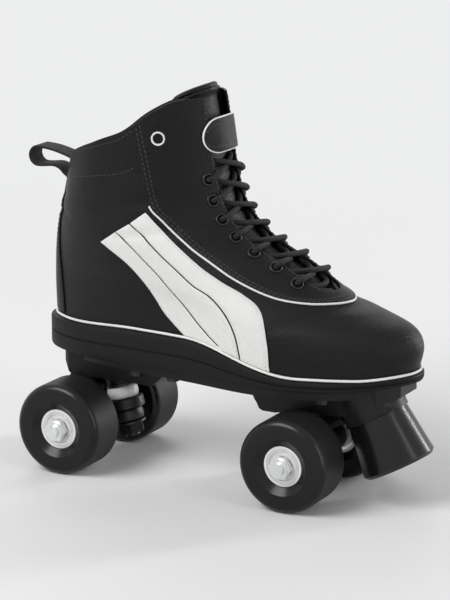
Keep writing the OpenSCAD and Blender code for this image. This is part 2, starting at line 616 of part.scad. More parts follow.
module plate() color("#141416") difference() {
    intersection() {
        union() {
            intersection() {
                translate([0, 0, sole_z - 10]) linear_extrude(30) polygon(outline(-plate_inset));
                side_slab(function(x) under(x) - plate_t, function(x) under(x) - plate_gap);
            }
            for (end = [rear, front]) at_truck(end) {
                translate([0, 0, ride_height]) truck_block(end);
                at_kingpin() translate([0, 0, seat_k]) cylinder(d = cushion_d - 1, h = 18);
                at_steer() translate([0, 0, cup_start - 0.5])
                    cylinder(d = boss_d, h = cup_end - cup_start + 3);
            }
            at_toe_stop() translate([0, 0, -toe_run]) cylinder(d = toe_stop_top_d + 2, h = toe_run);
        }
        side_slab(function(x) -ride_height, function(x) under(x) - plate_gap);
        translate([0, 0, 1]) linear_extrude(sole_z + 30) polygon(outline(-1));
    }
    for (end = [rear, front]) at_truck(end) {
        at_kingpin() {
            cylinder(d = kingpin_d + 2*fit, h = 80);
            translate([0, 0, kingpin_top - kingpin_head_h - fit])
                cylinder(d = kingpin_head_d + 2*fit, h = 30);
        }
        at_steer() translate([0, 0, cup_start - 5])
            cylinder(d = cup_d + 2*fit, h = cup_end - cup_start + 5 + fit);
    }
    at_toe_stop() translate([0, 0, -toe_run - 20]) cylinder(d = toe_bolt_d + 2*fit, h = toe_run + 40);
    for (p = bolt_spots) translate([p.x, p.y, 40]) cylinder(d = plate_bolt_d + 2*fit, h = 60, $fn = 32);
}

module plate_bolts() color("#b9bcc0") for (p = bolt_spots)
    translate([p.x, p.y, sole_z - plate_t]) difference() {
    union() {
        translate([0, 0, -3]) cylinder(d = bolt_head_d, h = 3, $fn = 32);
        translate([0, 0, -1]) cylinder(d = plate_bolt_d, h = plate_t + plate_bolt_in + 1, $fn = 32);
    }
    translate([0, 0, -4]) cylinder(d = 3.5, h = 3, $fn = 6);
}

// Toe stop with the recess for its bolt's head
toe_recess_d = 22;
toe_recess_h = 14;
module toe_stop() color("#1b1b1d") at_toe_stop() difference() {
    union() {
        cylinder(d1 = toe_stop_top_d, d2 = toe_stop_foot_d, h = toe_stop_h - 2);
        translate([0, 0, toe_stop_h - 2]) cylinder(d1 = toe_stop_foot_d, d2 = toe_stop_foot_d - 4, h = 2);
    }
    translate([0, 0, -1]) cylinder(d = toe_bolt_d + 2*fit, h = toe_stop_h + 2);
    translate([0, 0, toe_stop_h - toe_recess_h]) cylinder(d = toe_recess_d, h = toe_recess_h + 1);
}
module toe_stop_bolt() color("#b9bcc0") at_toe_stop() difference() {
    union() {
        translate([0, 0, toe_stop_h - toe_recess_h]) cylinder(d = toe_recess_d - 4, h = 1.5);
        translate([0, 0, toe_stop_h - toe_recess_h + 1.5]) cylinder(d = 15, h = 6, $fn = 6);
        translate([0, 0, -16]) cylinder(d = toe_bolt_d, h = 16 + toe_stop_h - toe_recess_h + 2);
    }
    translate([0, 0, toe_stop_h - toe_recess_h + 5]) cylinder(d = 6, h = 5);
}

module kingpin(end) color("#a8abb0") at_truck(end) at_kingpin() {
    translate([0, 0, -kingpin_low]) cylinder(d = kingpin_d, h = kingpin_low + kingpin_top);
    translate([0, 0, kingpin_top - kingpin_head_h]) cylinder(d = kingpin_head_d, h = kingpin_head_h - 2);
}
module kingpin_nut(end) color("#8f9398") at_truck(end) at_kingpin()
    translate([0, 0, -nut_k - kingpin_nut_h]) difference() {
    cylinder(d = kingpin_d + 8, h = kingpin_nut_h, $fn = 6);
    translate([0, 0, -1]) cylinder(d = kingpin_d + 2*fit, h = kingpin_nut_h + 2);
}
module cushion(end, side) color("#303034") at_truck(end) at_kingpin() rotate([side > 0 ? 0 : 180, 0, 0])
    translate([0, 0, ring_half + cushion_gap]) rotate_extrude() polygon([
        [kingpin_d/2 + gap, 0], [cushion_d/2 - 2, 0], [cushion_d/2 - 0.4, 0.25*cushion_h],
        [cushion_d/2, 0.5*cushion_h], [cushion_d/2 - 0.4, 0.75*cushion_h],
        [cushion_d/2 - 1.4, cushion_h], [kingpin_d/2 + gap, cushion_h]]);
module cushion_washers(end) color("#b9bcc0") at_truck(end) at_kingpin()
    for (turn = [0, 180]) rotate([turn, 0, 0])
    translate([0, 0, ring_half + 2*cushion_gap + cushion_h]) difference() {
        cylinder(d = cushion_d, h = cushion_washer_t);
        translate([0, 0, -1]) cylinder(d = kingpin_d + 2*fit, h = cushion_washer_t + 2);
    }
module pivot_cup(end) color("#2a2a2e") at_truck(end) at_steer() difference() {
    translate([0, 0, cup_start]) cylinder(d = cup_d, h = cup_end - cup_start);
    translate([0, 0, cup_start - 1]) cylinder(d = pivot_d + 2*gap, h = steer_run - cup_start + 1);
    translate([0, 0, steer_run]) sphere(d = pivot_d + 2*gap);
}

// Hanger: axle housing, web, kingpin ring and pivot pin
module hanger(end) color("#1e1e21") at_truck(end) difference() {
    union() {
        rotate([90, 0, 0]) cylinder(d = housing_d, h = 2*housing_half, center = true);
        rotate([90, 0, 0]) cylinder(d = shoulder_d, h = 2*shoulder_half, center = true);
        at_kingpin() cylinder(d = ring_od, h = ring_t, center = true);
        rotate([90, 0, 0]) linear_extrude(13, center = true) polygon([[-7.4, 0], [-6, 4.5], [-1.6, 12.4],
            [1.6, 19.2], [3.4, 16.6], [9, 11], [12, 8], [12, 2], [7, -3.6], [0, -7.4]]);
        at_steer() translate([0, 0, 16]) cylinder(d = pivot_d, h = steer_run - 16);
        at_steer() translate([0, 0, steer_run]) sphere(d = pivot_d);
    }
    rotate([90, 0, 0]) cylinder(d = bearing_id, h = 3*track, center = true);
    at_kingpin() cylinder(d = ring_hole_d, h = 60, center = true);
    at_kingpin() for (turn = [0, 180]) rotate([turn, 0, 0])
        translate([0, 0, ring_half]) cylinder(d = cushion_d + 2, h = 26);
}
module axle(end) color("#b4b7bc") at_truck(end) rotate([90, 0, 0])
    cylinder(d = axle_d, h = 2*axle_half, center = true);
module axle_nuts(end) color("#c9ccd0") at_truck(end) for (turn = [0, 180]) rotate([90 + turn, 0, 0])
    translate([0, 0, track/2 + hub_half + spacer_t + fit]) difference() {
        union() {
            cylinder(d = axle_nut_d, h = axle_nut_h - 1.5, $fn = 6);
            cylinder(d = axle_nut_d - 3, h = axle_nut_h);
        }
        translate([0, 0, -1]) cylinder(d = axle_d + 2*fit, h = axle_nut_h + 2);
    }
module axle_spacers(end) color("#b4b7bc") at_truck(end) for (turn = [0, 180]) rotate([90 + turn, 0, 0]) {
    for (y = [track/2 - hub_half - spacer_t + fit, track/2 + hub_half]) translate([0, 0, y]) difference() {
        cylinder(d = inner_ring_od, h = spacer_t);
        translate([0, 0, -1]) cylinder(d = axle_d + 2*fit, h = spacer_t + 2);
    }
    translate([0, 0, track/2]) difference() {
        cylinder(d = inner_ring_od - 1, h = hub_w - 2*bearing_w - 2*fit, center = true);
        cylinder(d = axle_d + 2*fit, h = hub_w, center = true);
    }
}

// Bearings of one wheel: races, balls and shields round the axle
bearing_mid = (hub_w - bearing_w)/2;
ball_path_d = (inner_ring_od + outer_ring_id)/2;
module race_groove() rotate_extrude() translate([ball_path_d/2, 0]) circle(d = ball_d + 2*fit, $fn = 32);
module inner_rings(end) color("#c4c7cb") at_truck(end)
    for (turn = [0, 180], b = [-1, 1]) rotate([90 + turn, 0, 0])
    translate([0, 0, track/2 + b*bearing_mid]) difference() {
        cylinder(d = inner_ring_od, h = bearing_w - 2*fit, center = true);
        cylinder(d = axle_d + 2*fit, h = bearing_w + 2, center = true);
        race_groove();
    }

// Wheel frame: origin in the wheel's middle, z along the axle away from the truck
module at_wheel(end, side) translate([axle_x(end), side*track/2, axle_z])
    rotate([-side*90, 0, 0]) children();

module tyre(end, side) color("#18181a") at_wheel(end, side) rotate_extrude() difference() {
    union() {
        translate([hub_d/2 + fit, -wheel_w/2]) square([wheel_d/2 - tyre_edge_r - hub_d/2 - fit, wheel_w]);
        translate([hub_d/2 + fit, -wheel_w/2 + tyre_edge_r])
            square([wheel_d/2 - hub_d/2 - fit, wheel_w - 2*tyre_edge_r]);
        for (s = [-1, 1]) translate([wheel_d/2 - tyre_edge_r, s*(wheel_w/2 - tyre_edge_r)])
            circle(r = tyre_edge_r);
    }
    translate([0, -hub_collar_w/2 - fit]) square([hub_collar_d/2 + fit, hub_collar_w + 2*fit]);
    for (s = [-1, 1]) polygon([[0, s*hub_half], [hub_d/2 + 0.5, s*hub_half],
        [dish_d/2, s*(wheel_w/2 + 0.01)], [0, s*(wheel_w/2 + 1)]]);
}
module hub(end, side) color("#ececea") at_wheel(end, side) difference() {
    union() {
        cylinder(d = hub_d, h = hub_w, center = true);
        cylinder(d = hub_collar_d, h = hub_collar_w, center = true);
    }
    cylinder(d = bearing_od - 4, h = hub_w + 2, center = true);
    for (b = [-1, 1]) translate([0, 0, b*(hub_half - bearing_w/2 + 0.5)])
        cylinder(d = bearing_od + 2*fit, h = bearing_w + 1, center = true);
}
module bearings(end, side) color("#c4c7cb") at_wheel(end, side) for (b = [-1, 1])
    translate([0, 0, b*bearing_mid]) {
        difference() {
            cylinder(d = bearing_od, h = bearing_w - 2*fit, center = true);
            cylinder(d = outer_ring_id, h = bearing_w + 2, center = true);
            race_groove();
        }
        for (k = [0:ball_count - 1]) rotate([0, 0, 360*k/ball_count])
            translate([ball_path_d/2, 0, 0]) sphere(d = ball_d);
    }
module shields(end, side) color("#e4e4e0") at_wheel(end, side) for (b = [-1, 1])
    translate([0, 0, b*(hub_half - 0.5 - shield_t/2)]) difference() {
        cylinder(d = outer_ring_id - 2*fit, h = shield_t, center = true);
        cylinder(d = inner_ring_od + 2*gap, h = 3, center = true);
    }

boot_upper();
boot_lining();
tongue();
insole();
eyestay();
eyelets();
laces();
ankle_strap();
ankle_eyelet();
pull_loop();
backstay();
outer_stripes();
inner_stripes();
outsole();
welt_piping();
plate();
plate_bolts();
toe_stop();
toe_stop_bolt();
kingpin(rear);  // rear_kingpin
kingpin_nut(rear);  // rear_kingpin_nut
cushion(rear, 1);  // rear_upper_cushion
cushion(rear, -1);  // rear_lower_cushion
cushion_washers(rear);  // rear_cushion_washers
pivot_cup(rear);  // rear_pivot_cup
hanger(rear);  // rear_hanger
axle(rear);  // rear_axle
axle_nuts(rear);  // rear_axle_nuts
axle_spacers(rear);  // rear_axle_spacers
inner_rings(rear);  // rear_inner_rings
kingpin(front);  // front_kingpin
kingpin_nut(front);  // front_kingpin_nut
cushion(front, 1);  // front_upper_cushion
cushion(front, -1);  // front_lower_cushion
cushion_washers(front);  // front_cushion_washers
pivot_cup(front);  // front_pivot_cup
hanger(front);  // front_hanger
axle(front);  // front_axle
axle_nuts(front);  // front_axle_nuts
axle_spacers(front);  // front_axle_spacers
inner_rings(front);  // front_inner_rings
tyre(rear, -1);  // rear_outer_tyre
hub(rear, -1);  // rear_outer_hub
bearings(rear, -1);  // rear_outer_bearings
shields(rear, -1);  // rear_outer_shields
tyre(rear, 1);  // rear_inner_tyre
hub(rear, 1);  // rear_inner_hub
bearings(rear, 1);  // rear_inner_bearings
shields(rear, 1);  // rear_inner_shields
tyre(front, -1);  // front_outer_tyre
hub(front, -1);  // front_outer_hub
bearings(front, -1);  // front_outer_bearings
shields(front, -1);  // front_outer_shields
tyre(front, 1);  // front_inner_tyre
hub(front, 1);  // front_inner_hub
bearings(front, 1);  // front_inner_bearings
shields(front, 1);  // front_inner_shields
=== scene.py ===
# %% [markdown]
# # Dressing a high-top roller skate
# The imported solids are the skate's bones: they carry its sizes, joints and places.
# This lesson puts the looks on them: leather, padding, cord, rubber and steel.
# Hard parts keep their solid and get a finish. Soft parts are modelled again, a little
# fuller, on the same curves as the solids, so that nothing has to be fitted by eye.

# %% Load the solids
import math
import bpy
import numpy as np
from mathutils import Matrix, Vector


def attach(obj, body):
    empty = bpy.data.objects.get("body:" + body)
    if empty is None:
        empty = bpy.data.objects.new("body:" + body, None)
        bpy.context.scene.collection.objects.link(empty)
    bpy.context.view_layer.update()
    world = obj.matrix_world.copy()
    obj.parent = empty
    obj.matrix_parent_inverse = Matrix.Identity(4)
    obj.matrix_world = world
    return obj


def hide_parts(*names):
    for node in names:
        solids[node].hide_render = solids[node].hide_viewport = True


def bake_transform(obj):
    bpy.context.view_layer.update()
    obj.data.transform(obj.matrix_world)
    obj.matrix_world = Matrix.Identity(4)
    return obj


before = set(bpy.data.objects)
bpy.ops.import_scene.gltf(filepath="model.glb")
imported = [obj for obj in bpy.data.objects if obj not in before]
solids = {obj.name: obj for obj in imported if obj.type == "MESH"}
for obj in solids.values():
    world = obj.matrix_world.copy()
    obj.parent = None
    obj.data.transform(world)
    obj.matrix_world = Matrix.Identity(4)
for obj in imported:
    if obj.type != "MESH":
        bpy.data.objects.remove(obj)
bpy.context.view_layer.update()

scene = bpy.context.scene
scene.view_settings.view_transform = "Standard"
BOOT = "boot_and_plate"

# %% [markdown]
# ## Camera and light
# The camera stands low on the outer side, a little ahead of the skate, with a long lens,
# so that the wheels are nearly true circles. A camera can be placed by hand, but here its
# angles are known, so its place is worked out from them and it is turned to its target.

# %% Camera
SENSOR, PHOTO_HEIGHT, FOCAL_PIXELS = 36, 600, 2604
azimuth, elevation, distance = math.radians(28.6), math.radians(14.5), 1.6
target = Vector((-0.0012, 0, 0.1118))
eye = target + distance*Vector((math.sin(azimuth)*math.cos(elevation),
                                -math.cos(azimuth)*math.cos(elevation), math.sin(elevation)))
bpy.ops.object.select_all(action="DESELECT")
bpy.ops.object.camera_add(location=eye, rotation=(target - eye).to_track_quat("-Z", "Y").to_euler())
camera = bpy.context.object
camera.data.sensor_width = SENSOR
camera.data.lens = FOCAL_PIXELS*SENSOR/PHOTO_HEIGHT
scene.camera = camera
print("camera at", [round(c, 3) for c in eye], "lens", round(camera.data.lens, 1))

# %% [markdown]
# A black skate shows its form only by what it mirrors, so the lamps are large: a wide
# softbox above the outer side, a tall strip ahead of the toe and one behind it that draw
# bright lines on the toe stop and the wheels' shoulders, and a weak box behind that lifts
# the collar off the floor.

# %% Lamps
LAMP_AIM = Vector((0, 0, 0.11))


def softbox(name, place, width, height, watts):
    """A soft rectangular lamp turned to the middle of the skate."""
    turn = (LAMP_AIM - Vector(place)).to_track_quat("-Z", "Y").to_euler()
    bpy.ops.object.light_add(type="AREA", location=place, rotation=turn)
    lamp = bpy.context.object
    lamp.name = name
    lamp.data.shape = "RECTANGLE"
    lamp.data.size, lamp.data.size_y, lamp.data.energy = width, height, watts


softbox("key_softbox", (-0.7, -1.3, 1.5), 1.3, 1.0, 26)
softbox("toe_strip", (1.5, -0.35, 0.5), 0.25, 1.1, 4)
softbox("rim_strip", (1.0, 1.35, 0.45), 0.12, 1.3, 15)
softbox("back_softbox", (-0.9, 1.3, 1.2), 1.2, 0.8, 8)

# %% [markdown]
# ## Sums on sockets
# A finish is a small graph of nodes. Wiring it by hand is slow to read in code, so one
# small class wraps an output socket: sums on it add Math nodes, and every other node
# comes from one method that takes its settings and its inputs.

# %% The socket class
class Wire:
    """One output socket of a finish, on which sums can be written as sums."""

    def __init__(self, tree, socket=None):
        self.tree, self.socket = tree, socket

    def node(self, kind, settings=None, inputs=None, out=0):
        """A new node: its settings first, then a value or a wire for each input."""
        made = self.tree.nodes.new("ShaderNode" + kind)
        for key, value in (settings or {}).items():
            setattr(made, key, value)
        for key, value in (inputs or {}).items():
            if isinstance(value, Wire):
                self.tree.links.new(value.socket, made.inputs[key])
            else:
                made.inputs[key].default_value = value
        return Wire(self.tree, made.outputs[out])

    def reckon(self, operation, first, second=0.0):
        return self.node("Math", {"operation": operation}, {0: first, 1: second})

    def __add__(self, other):
        return self.reckon("ADD", self, other)

    def __sub__(self, other):
        return self.reckon("SUBTRACT", self, other)

    def __rsub__(self, other):
        return self.reckon("SUBTRACT", other, self)

    def __mul__(self, other):
        return self.reckon("MULTIPLY", self, other)

    __radd__, __rmul__ = __add__, __mul__

    def wave(self, turns):
        """A sine of this value, from 0 to 1, with that many turns per unit."""
        return self.reckon("SINE", self*(turns*2*math.pi))*0.5 + 0.5

    def rise(self, low, high):
        """0 below low, 1 above high, smooth between."""
        return self.node("MapRange", {"interpolation_type": "SMOOTHSTEP"},
                         {"Value": self, "From Min": low, "From Max": high})

    def tint(self, dark, pale):
        """A colour between two, by this value."""
        ends = [c if isinstance(c, Wire) else (*c, 1) for c in (dark, pale)]
        return self.node("Mix", {"data_type": "RGBA"}, {0: self, 6: ends[0], 7: ends[1]}, out=2)

    def noise(self, scale, detail=3.0):
        """Cloudy noise read at this place, with that many features in a metre."""
        return self.node("TexNoise", inputs={"Vector": self, "Scale": scale, "Detail": detail})

    def cells(self, scale):
        """Distance from the walls of a foam of cells, as in leather grain."""
        return self.node("TexVoronoi", {"feature": "DISTANCE_TO_EDGE"},
                         {"Vector": self, "Scale": scale})

    def relief(self, depth, strength=1.0):
        """This height as a bump of that depth in metres."""
        return self.node("Bump", inputs={"Strength": strength, "Distance": depth, "Height": self})

    def split(self):
        """The three parts of a vector."""
        made = self.node("SeparateXYZ", inputs={0: self})
        return [Wire(self.tree, s) for s in made.socket.node.outputs]


def finish(name, recipe, **constants):
    """A finish whose recipe takes the object's own place and UV, and gives sockets to feed."""
    made = bpy.data.materials.new(name + "_finish")
    made.use_nodes = True
    tree = made.node_tree
    shader = tree.nodes["Principled BSDF"]
    for key, value in constants.items():
        shader.inputs[key.replace("_", " ")].default_value = value
    place = Wire(tree).node("TexCoord", out="Object")
    sheet = Wire(tree, place.socket.node.outputs["UV"])
    for key, wire in recipe(place, sheet).items():
        tree.links.new(wire.socket, shader.inputs[key])
    return made


# %% [markdown]
# ## Finishes
# Each finish has the detail the real stuff shows at its real size: pebbled grain of a
# millimetre on leather, threads on tape and cord, cast skin on the trucks, scuffs low on
# the boot. Patterns read the piece's own place, so they stay put as wheels and trucks turn.

# %% Colours that several finishes share
INK, SOOT, CHARCOAL = (0.003, 0.003, 0.0034), (0.004, 0.004, 0.0045), (0.02, 0.02, 0.021)
WHITE, ENAMEL = (0.86, 0.86, 0.845), (0.86, 0.86, 0.85)
print("shared colours:", INK, SOOT, CHARCOAL, WHITE, ENAMEL)

# %% Leather
def leather(dark, pale, scuff, cell=0.0011, dull=0.36):
    """Grained leather: pebbles, creased tone, and fine rubbing that gathers low down and at the toe."""
    def recipe(place, sheet):
        grain = place.cells(1/cell)
        fine = place.noise(2400)
        tone = place.noise(38, 5)
        low = 1 - place.split()[2].rise(0.085, 0.13)
        rubbed = place.noise(24, 2).rise(0.5, 0.75)
        worn = place.noise(1300, 4).rise(0.5, 0.75)*(low*0.5 + rubbed*0.35)
        pebbles = grain.rise(0, 0.35)
        colour = worn.tint((tone.rise(0.3, 0.75)*pebbles).tint(dark, pale), scuff)
        return {"Base Color": colour,
                "Roughness": dull + tone*0.16 + worn*0.12 - pebbles*0.07,
                "Normal": (pebbles*0.7 + fine*0.5 + tone*0.6).relief(0.00022, 0.55)}
    return recipe


black_leather = finish("black_leather", leather(INK, (0.008, 0.008, 0.0087), (0.024, 0.024, 0.025)),
                       Specular_IOR_Level=0.2)
facing_leather = finish("facing_leather", leather((0.0025, 0.0025, 0.0028), (0.006, 0.006, 0.0065),
                                                  (0.016, 0.016, 0.017), 0.0009, 0.31),
                        Specular_IOR_Level=0.2)
white_leather = finish("white_leather", leather((0.8, 0.8, 0.785), (0.87, 0.87, 0.855),
                                                (0.68, 0.67, 0.64), 0.0009, 0.36))
print("leathers:", black_leather.name, facing_leather.name, white_leather.name)

# %% Cloth, cord and thread
def knit(place, sheet):
    """Padded lining: an open knit of small dark cells."""
    holes = place.cells(950).rise(0.03, 0.35)
    cloud = place.noise(45, 4)
    return {"Base Color": (holes*(cloud*0.6 + 0.4)).tint(SOOT, (0.032, 0.032, 0.034)),
            "Roughness": 0.78 + cloud*0.16,
            "Normal": (holes + place.noise(2600)*0.4).relief(0.0003, 0.8)}


def braid(turns, length, dark, pale):
    """Round braid on a tube whose UV runs round and along: two strands that cross."""
    def recipe(place, sheet):
        around, along, _ = sheet.split()
        left = (around*turns + along*length).wave(1)
        right = (around*turns - along*length).wave(1)
        over = left.reckon("MAXIMUM", left, right)
        fibres = place.noise(3000, 2)
        return {"Base Color": (over*0.8 + fibres*0.25).tint(dark, pale),
                "Roughness": 0.62 + fibres*0.25,
                "Normal": (over + fibres*0.25).relief(0.00045, 0.9)}
    return recipe


def tape(warps, wefts):
    """Flat woven tape: warp ribs along it, wefts across, each over its neighbour in turn."""
    def recipe(place, sheet):
        across, along, _ = sheet.split()
        rib = across.wave(warps)
        pick = (along*wefts + across*(warps/2)).wave(1)
        fibres = place.noise(2600, 2)
        return {"Base Color": (rib*0.5 + pick*0.4 + fibres*0.2).tint(SOOT, (0.026, 0.026, 0.028)),
                "Roughness": 0.6 + fibres*0.3,
                "Normal": (rib*0.6 + pick*0.8 + fibres*0.2).relief(0.0004, 0.9)}
    return recipe


def thread(dark, pale):
    """Waxed sewing thread."""
    def recipe(place, sheet):
        twist = place.noise(3500, 2)
        return {"Base Color": twist.tint(dark, pale), "Roughness": 0.5 + twist*0.2,
                "Normal": twist.relief(0.0001, 0.6)}
    return recipe


lining_knit = finish("lining_knit", knit, Specular_IOR_Level=0.25)
lace_braid = finish("lace_braid", braid(4, 380, (0.003, 0.003, 0.0035), CHARCOAL),
                    Specular_IOR_Level=0.3)
loop_tape = finish("loop_tape", tape(9, 60), Specular_IOR_Level=0.3)
black_thread = finish("black_thread", thread((0.016, 0.016, 0.017), (0.055, 0.055, 0.058)))
white_thread = finish("white_thread", thread((0.66, 0.65, 0.62), (0.84, 0.84, 0.82)))
print("cloths:", lining_knit.name, lace_braid.name, loop_tape.name)

# %% Rubber, urethane and moulded parts
def rubber(dark, pale, coarse=900.0, dull=0.5, depth=0.00018):
    """Moulded rubber: a dusty skin with fine pores and light rubbing."""
    def recipe(place, sheet):
        cloud = place.noise(60, 5)
        pores = place.noise(coarse, 3)
        rubbing = place.noise(1500, 5).rise(0.5, 0.72)*place.noise(45, 3).rise(0.42, 0.7)
        return {"Base Color": (cloud*0.35 + rubbing*0.5).tint(dark, pale),
                "Roughness": dull + cloud*0.14 + rubbing*0.14,
                "Normal": (pores + rubbing*0.3).relief(depth, 0.5)}
    return recipe


def rolling(place, sheet):
    """Wheel urethane: glossy sides, and a tread dulled and greyed by the floor."""
    facing = place.node("TexCoord", out="Normal").split()[1]
    tread = 1 - facing.reckon("ABSOLUTE", facing).rise(0.2, 0.6)
    cloud = place.noise(70, 5)
    marks = place.noise(1400, 5).rise(0.45, 0.7)
    worn = tread*(marks*0.4 + cloud*0.4) + (1 - tread)*marks*0.05
    return {"Base Color": worn.tint(INK, (0.032, 0.032, 0.032)),
            "Roughness": 0.2 + tread*0.3 + cloud*0.1,
            "Normal": (marks*0.4*tread + place.noise(1100)*0.3).relief(0.0001, 0.35)}


def moulded(dark, pale, dull, grit=700.0, depth=0.00016):
    """Moulded or coated part: an even skin with a light orange peel and rubbed patches."""
    def recipe(place, sheet):
        peel = place.noise(grit, 2)
        rubbed = place.noise(90, 6).rise(0.5, 0.78)
        return {"Base Color": (rubbed*0.8 + peel*0.2).tint(dark, pale),
                "Roughness": dull + rubbed*0.15 + peel*0.06,
                "Normal": peel.relief(depth, 0.6)}
    return recipe


sole_rubber = finish("sole_rubber", rubber(INK, (0.014, 0.014, 0.015)), Specular_IOR_Level=0.22)
stop_rubber = finish("stop_rubber", rubber(INK, (0.012, 0.012, 0.0125), 700, 0.18, 0.00005),
                     Specular_IOR_Level=0.34)
tyre_urethane = finish("tyre_urethane", rolling, Specular_IOR_Level=0.32)
black_cushion = finish("black_cushion", rubber(SOOT, CHARCOAL, 500, 0.36))
white_cushion = finish("white_cushion", rubber(WHITE, (0.76, 0.755, 0.735), 500, 0.3))
hub_nylon = finish("hub_nylon", moulded(WHITE, (0.79, 0.785, 0.765), 0.34))
shield_nylon = finish("shield_nylon", moulded(ENAMEL, (0.78, 0.78, 0.765), 0.28))
white_cord = finish("white_cord", moulded(WHITE, (0.78, 0.775, 0.75), 0.38, 1500))
plate_nylon = finish("plate_nylon", moulded(INK, (0.011, 0.011, 0.012), 0.4), Specular_IOR_Level=0.3)
hanger_paint = finish("hanger_paint", moulded(SOOT, (0.018, 0.018, 0.019), 0.33, 420, 0.00035),
                      Specular_IOR_Level=0.36)
eyelet_enamel = finish("eyelet_enamel", moulded(SOOT, CHARCOAL, 0.3), Specular_IOR_Level=0.36)
white_enamel = finish("white_enamel", moulded(ENAMEL, (0.78, 0.775, 0.755), 0.25))
print("moulded finishes:", sole_rubber.name, tyre_urethane.name, hub_nylon.name, plate_nylon.name)

# %% Steel
def steel(dark, pale, dull):
    """Plated or ground steel: fine lines of polish and a little dull bloom."""
    def recipe(place, sheet):
        lines = place.noise(1600, 2)
        bloom = place.noise(160, 4).rise(0.45, 0.8)
        return {"Base Color": (lines*0.3 + bloom*0.5).tint(pale, dark),
                "Roughness": dull + lines*0.08 + bloom*0.12,
                "Normal": lines.relief(0.00003, 0.3)}
    return recipe


zinc_steel = finish("zinc_steel", steel((0.62, 0.63, 0.64), (0.86, 0.865, 0.87), 0.24), Metallic=1.0)
black_steel = finish("black_steel", steel((0.012, 0.012, 0.013), (0.04, 0.04, 0.042), 0.28), Metallic=0.6)
bearing_steel = finish("bearing_steel", steel((0.5, 0.5, 0.52), (0.78, 0.79, 0.8), 0.14), Metallic=1.0)
print("steels:", zinc_steel.name, black_steel.name, bearing_steel.name)

# %% [markdown]
# ## Sky and floor
# The sky lights the skate only weakly, so that black stays black. The camera sees it pale,
# and so do rays that are mirrored or bent on their way, so that steel shows it as it is.

# %% Sky
PALE = (0.845, 0.85, 0.855)
SKY_LIGHT, SKY_SEEN = 0.36, 1.0


def looked_at(wire):
    """1 for rays from the camera, and for mirrored and bent ones; 0 for plain light."""
    rays = wire.node("LightPath").socket.node.outputs
    camera_ray, glossy_ray, bent_ray = (Wire(wire.tree, rays[f"Is {kind} Ray"])
                                        for kind in ("Camera", "Glossy", "Transmission"))
    return wire.reckon("MAXIMUM", camera_ray, wire.reckon("MAXIMUM", glossy_ray, bent_ray))


sky = bpy.data.worlds.new("studio_sky")
sky.use_nodes = True
backdrop = sky.node_tree.nodes["Background"]
backdrop.inputs["Color"].default_value = (*PALE, 1)
level = looked_at(Wire(sky.node_tree))*(SKY_SEEN - SKY_LIGHT) + SKY_LIGHT
sky.node_tree.links.new(level.socket, backdrop.inputs["Strength"])
scene.world = sky
print("sky:", SKY_LIGHT, "as light,", SKY_SEEN, "as seen")

# %% [markdown]
# The floor is one large pale sheet. It is a plane that reaches far past the view, so that
# no edge shows from any side, and it keeps the skate's shadow. Far from the lamps it would
# go grey, so there it is seen as pale as the sky: a second shader takes over with the
# distance from the skate.

# %% Floor
def pale_floor(place, sheet):
    cloud = place.noise(3, 4)
    return {"Base Color": cloud.tint((0.84, 0.84, 0.835), (0.88, 0.88, 0.875)), "Roughness": 0.8 + cloud*0.1,
            "Normal": place.noise(400, 3).relief(0.0002, 0.3)}


def faded(made, near, far):
    """Lets a finish fade to the pale of the sky between two distances, where it is looked at."""
    tree = made.node_tree
    result = tree.nodes["Material Output"].inputs["Surface"]
    place = Wire(tree).node("TexCoord", out="Object")
    away = place.node("VectorMath", {"operation": "LENGTH"}, {0: place}, out="Value").rise(near, far)
    pale = away.node("Emission", inputs={"Color": (*PALE, 1)})
    lit = Wire(tree, result.links[0].from_socket)
    both = away.node("MixShader", inputs={0: away*looked_at(away), 1: lit, 2: pale})
    tree.links.new(both.socket, result)
    return made


bpy.ops.object.select_all(action="DESELECT")
bpy.ops.mesh.primitive_plane_add(size=40)
floor = bpy.context.object
floor.name = "floor"
floor.data.materials.append(faded(finish("pale_floor", pale_floor), 0.35, 1.1))

# %% [markdown]
# ## The boot's surface
# Every leather piece lies on one surface. It is built as a last-maker would: the heel line
# and the front line in side view, the girth between them, and the welt below. q goes round
# from the heel (0) to the toe (180), minus on the outer side; v goes up from the welt (0)
# to the top of the tongue (1). Sizes are in millimetres above the sole's underside, and the
# curves repeat those of the solids. Soft folds are added where a worn boot bends.

# %% Curves
MM = 0.001
SOLE_UNDERSIDE = 72.0
COLLAR, THROAT = 10/11, 0.40
HEEL_LINE = [(-119, 20), (-120, 46), (-118, 70), (-112, 96), (-106, 124), (-104, 136)]
FRONT_LINE = [(125.5, 9.5), (128.5, 25), (121.5, 36), (102, 44), (82, 50), (56, 65.5),
              (28, 80.5), (9.5, 100), (2, 124), (-2, 147), (-6, 169), (-9, 177)]
HEEL_X, TOE_X = HEEL_LINE[0][0], FRONT_LINE[0][0]


def ease(a, b, x):
    """Smooth step from 0 at a to 1 at b."""
    t = np.clip((np.asarray(x, float) - a)/(b - a), 0, 1)
    return t*t*(3 - 2*t)


def mix(a, b, t):
    return a + (b - a)*t


def bend(points, t):
    """Smooth line through evenly spaced points, t from 0 to 1."""
    p = np.asarray(points, float).reshape(len(points), -1)
    n = len(p) - 1
    u = np.clip(np.asarray(t, float)*n, 0, n)
    i = np.minimum(n - 1, u.astype(int))
    f = (u - i)[..., None]
    b, c = p[i], p[i + 1]
    a = np.where((i > 0)[..., None], p[np.maximum(i - 1, 0)], 2*b - c)
    d = np.where((i < n - 1)[..., None], p[np.minimum(i + 2, n)], 2*c - b)
    return (2*b + (c - a)*f + (2*a - 5*b + 4*c - d)*f**2 + (3*b - a - 3*c + d)*f**3)/2


def heel_line(v):
    v = np.asarray(v, float)
    return bend(HEEL_LINE, np.where(v < COLLAR, 0.8*v/COLLAR, 0.8 + 0.2*(v - COLLAR)/(1 - COLLAR)))


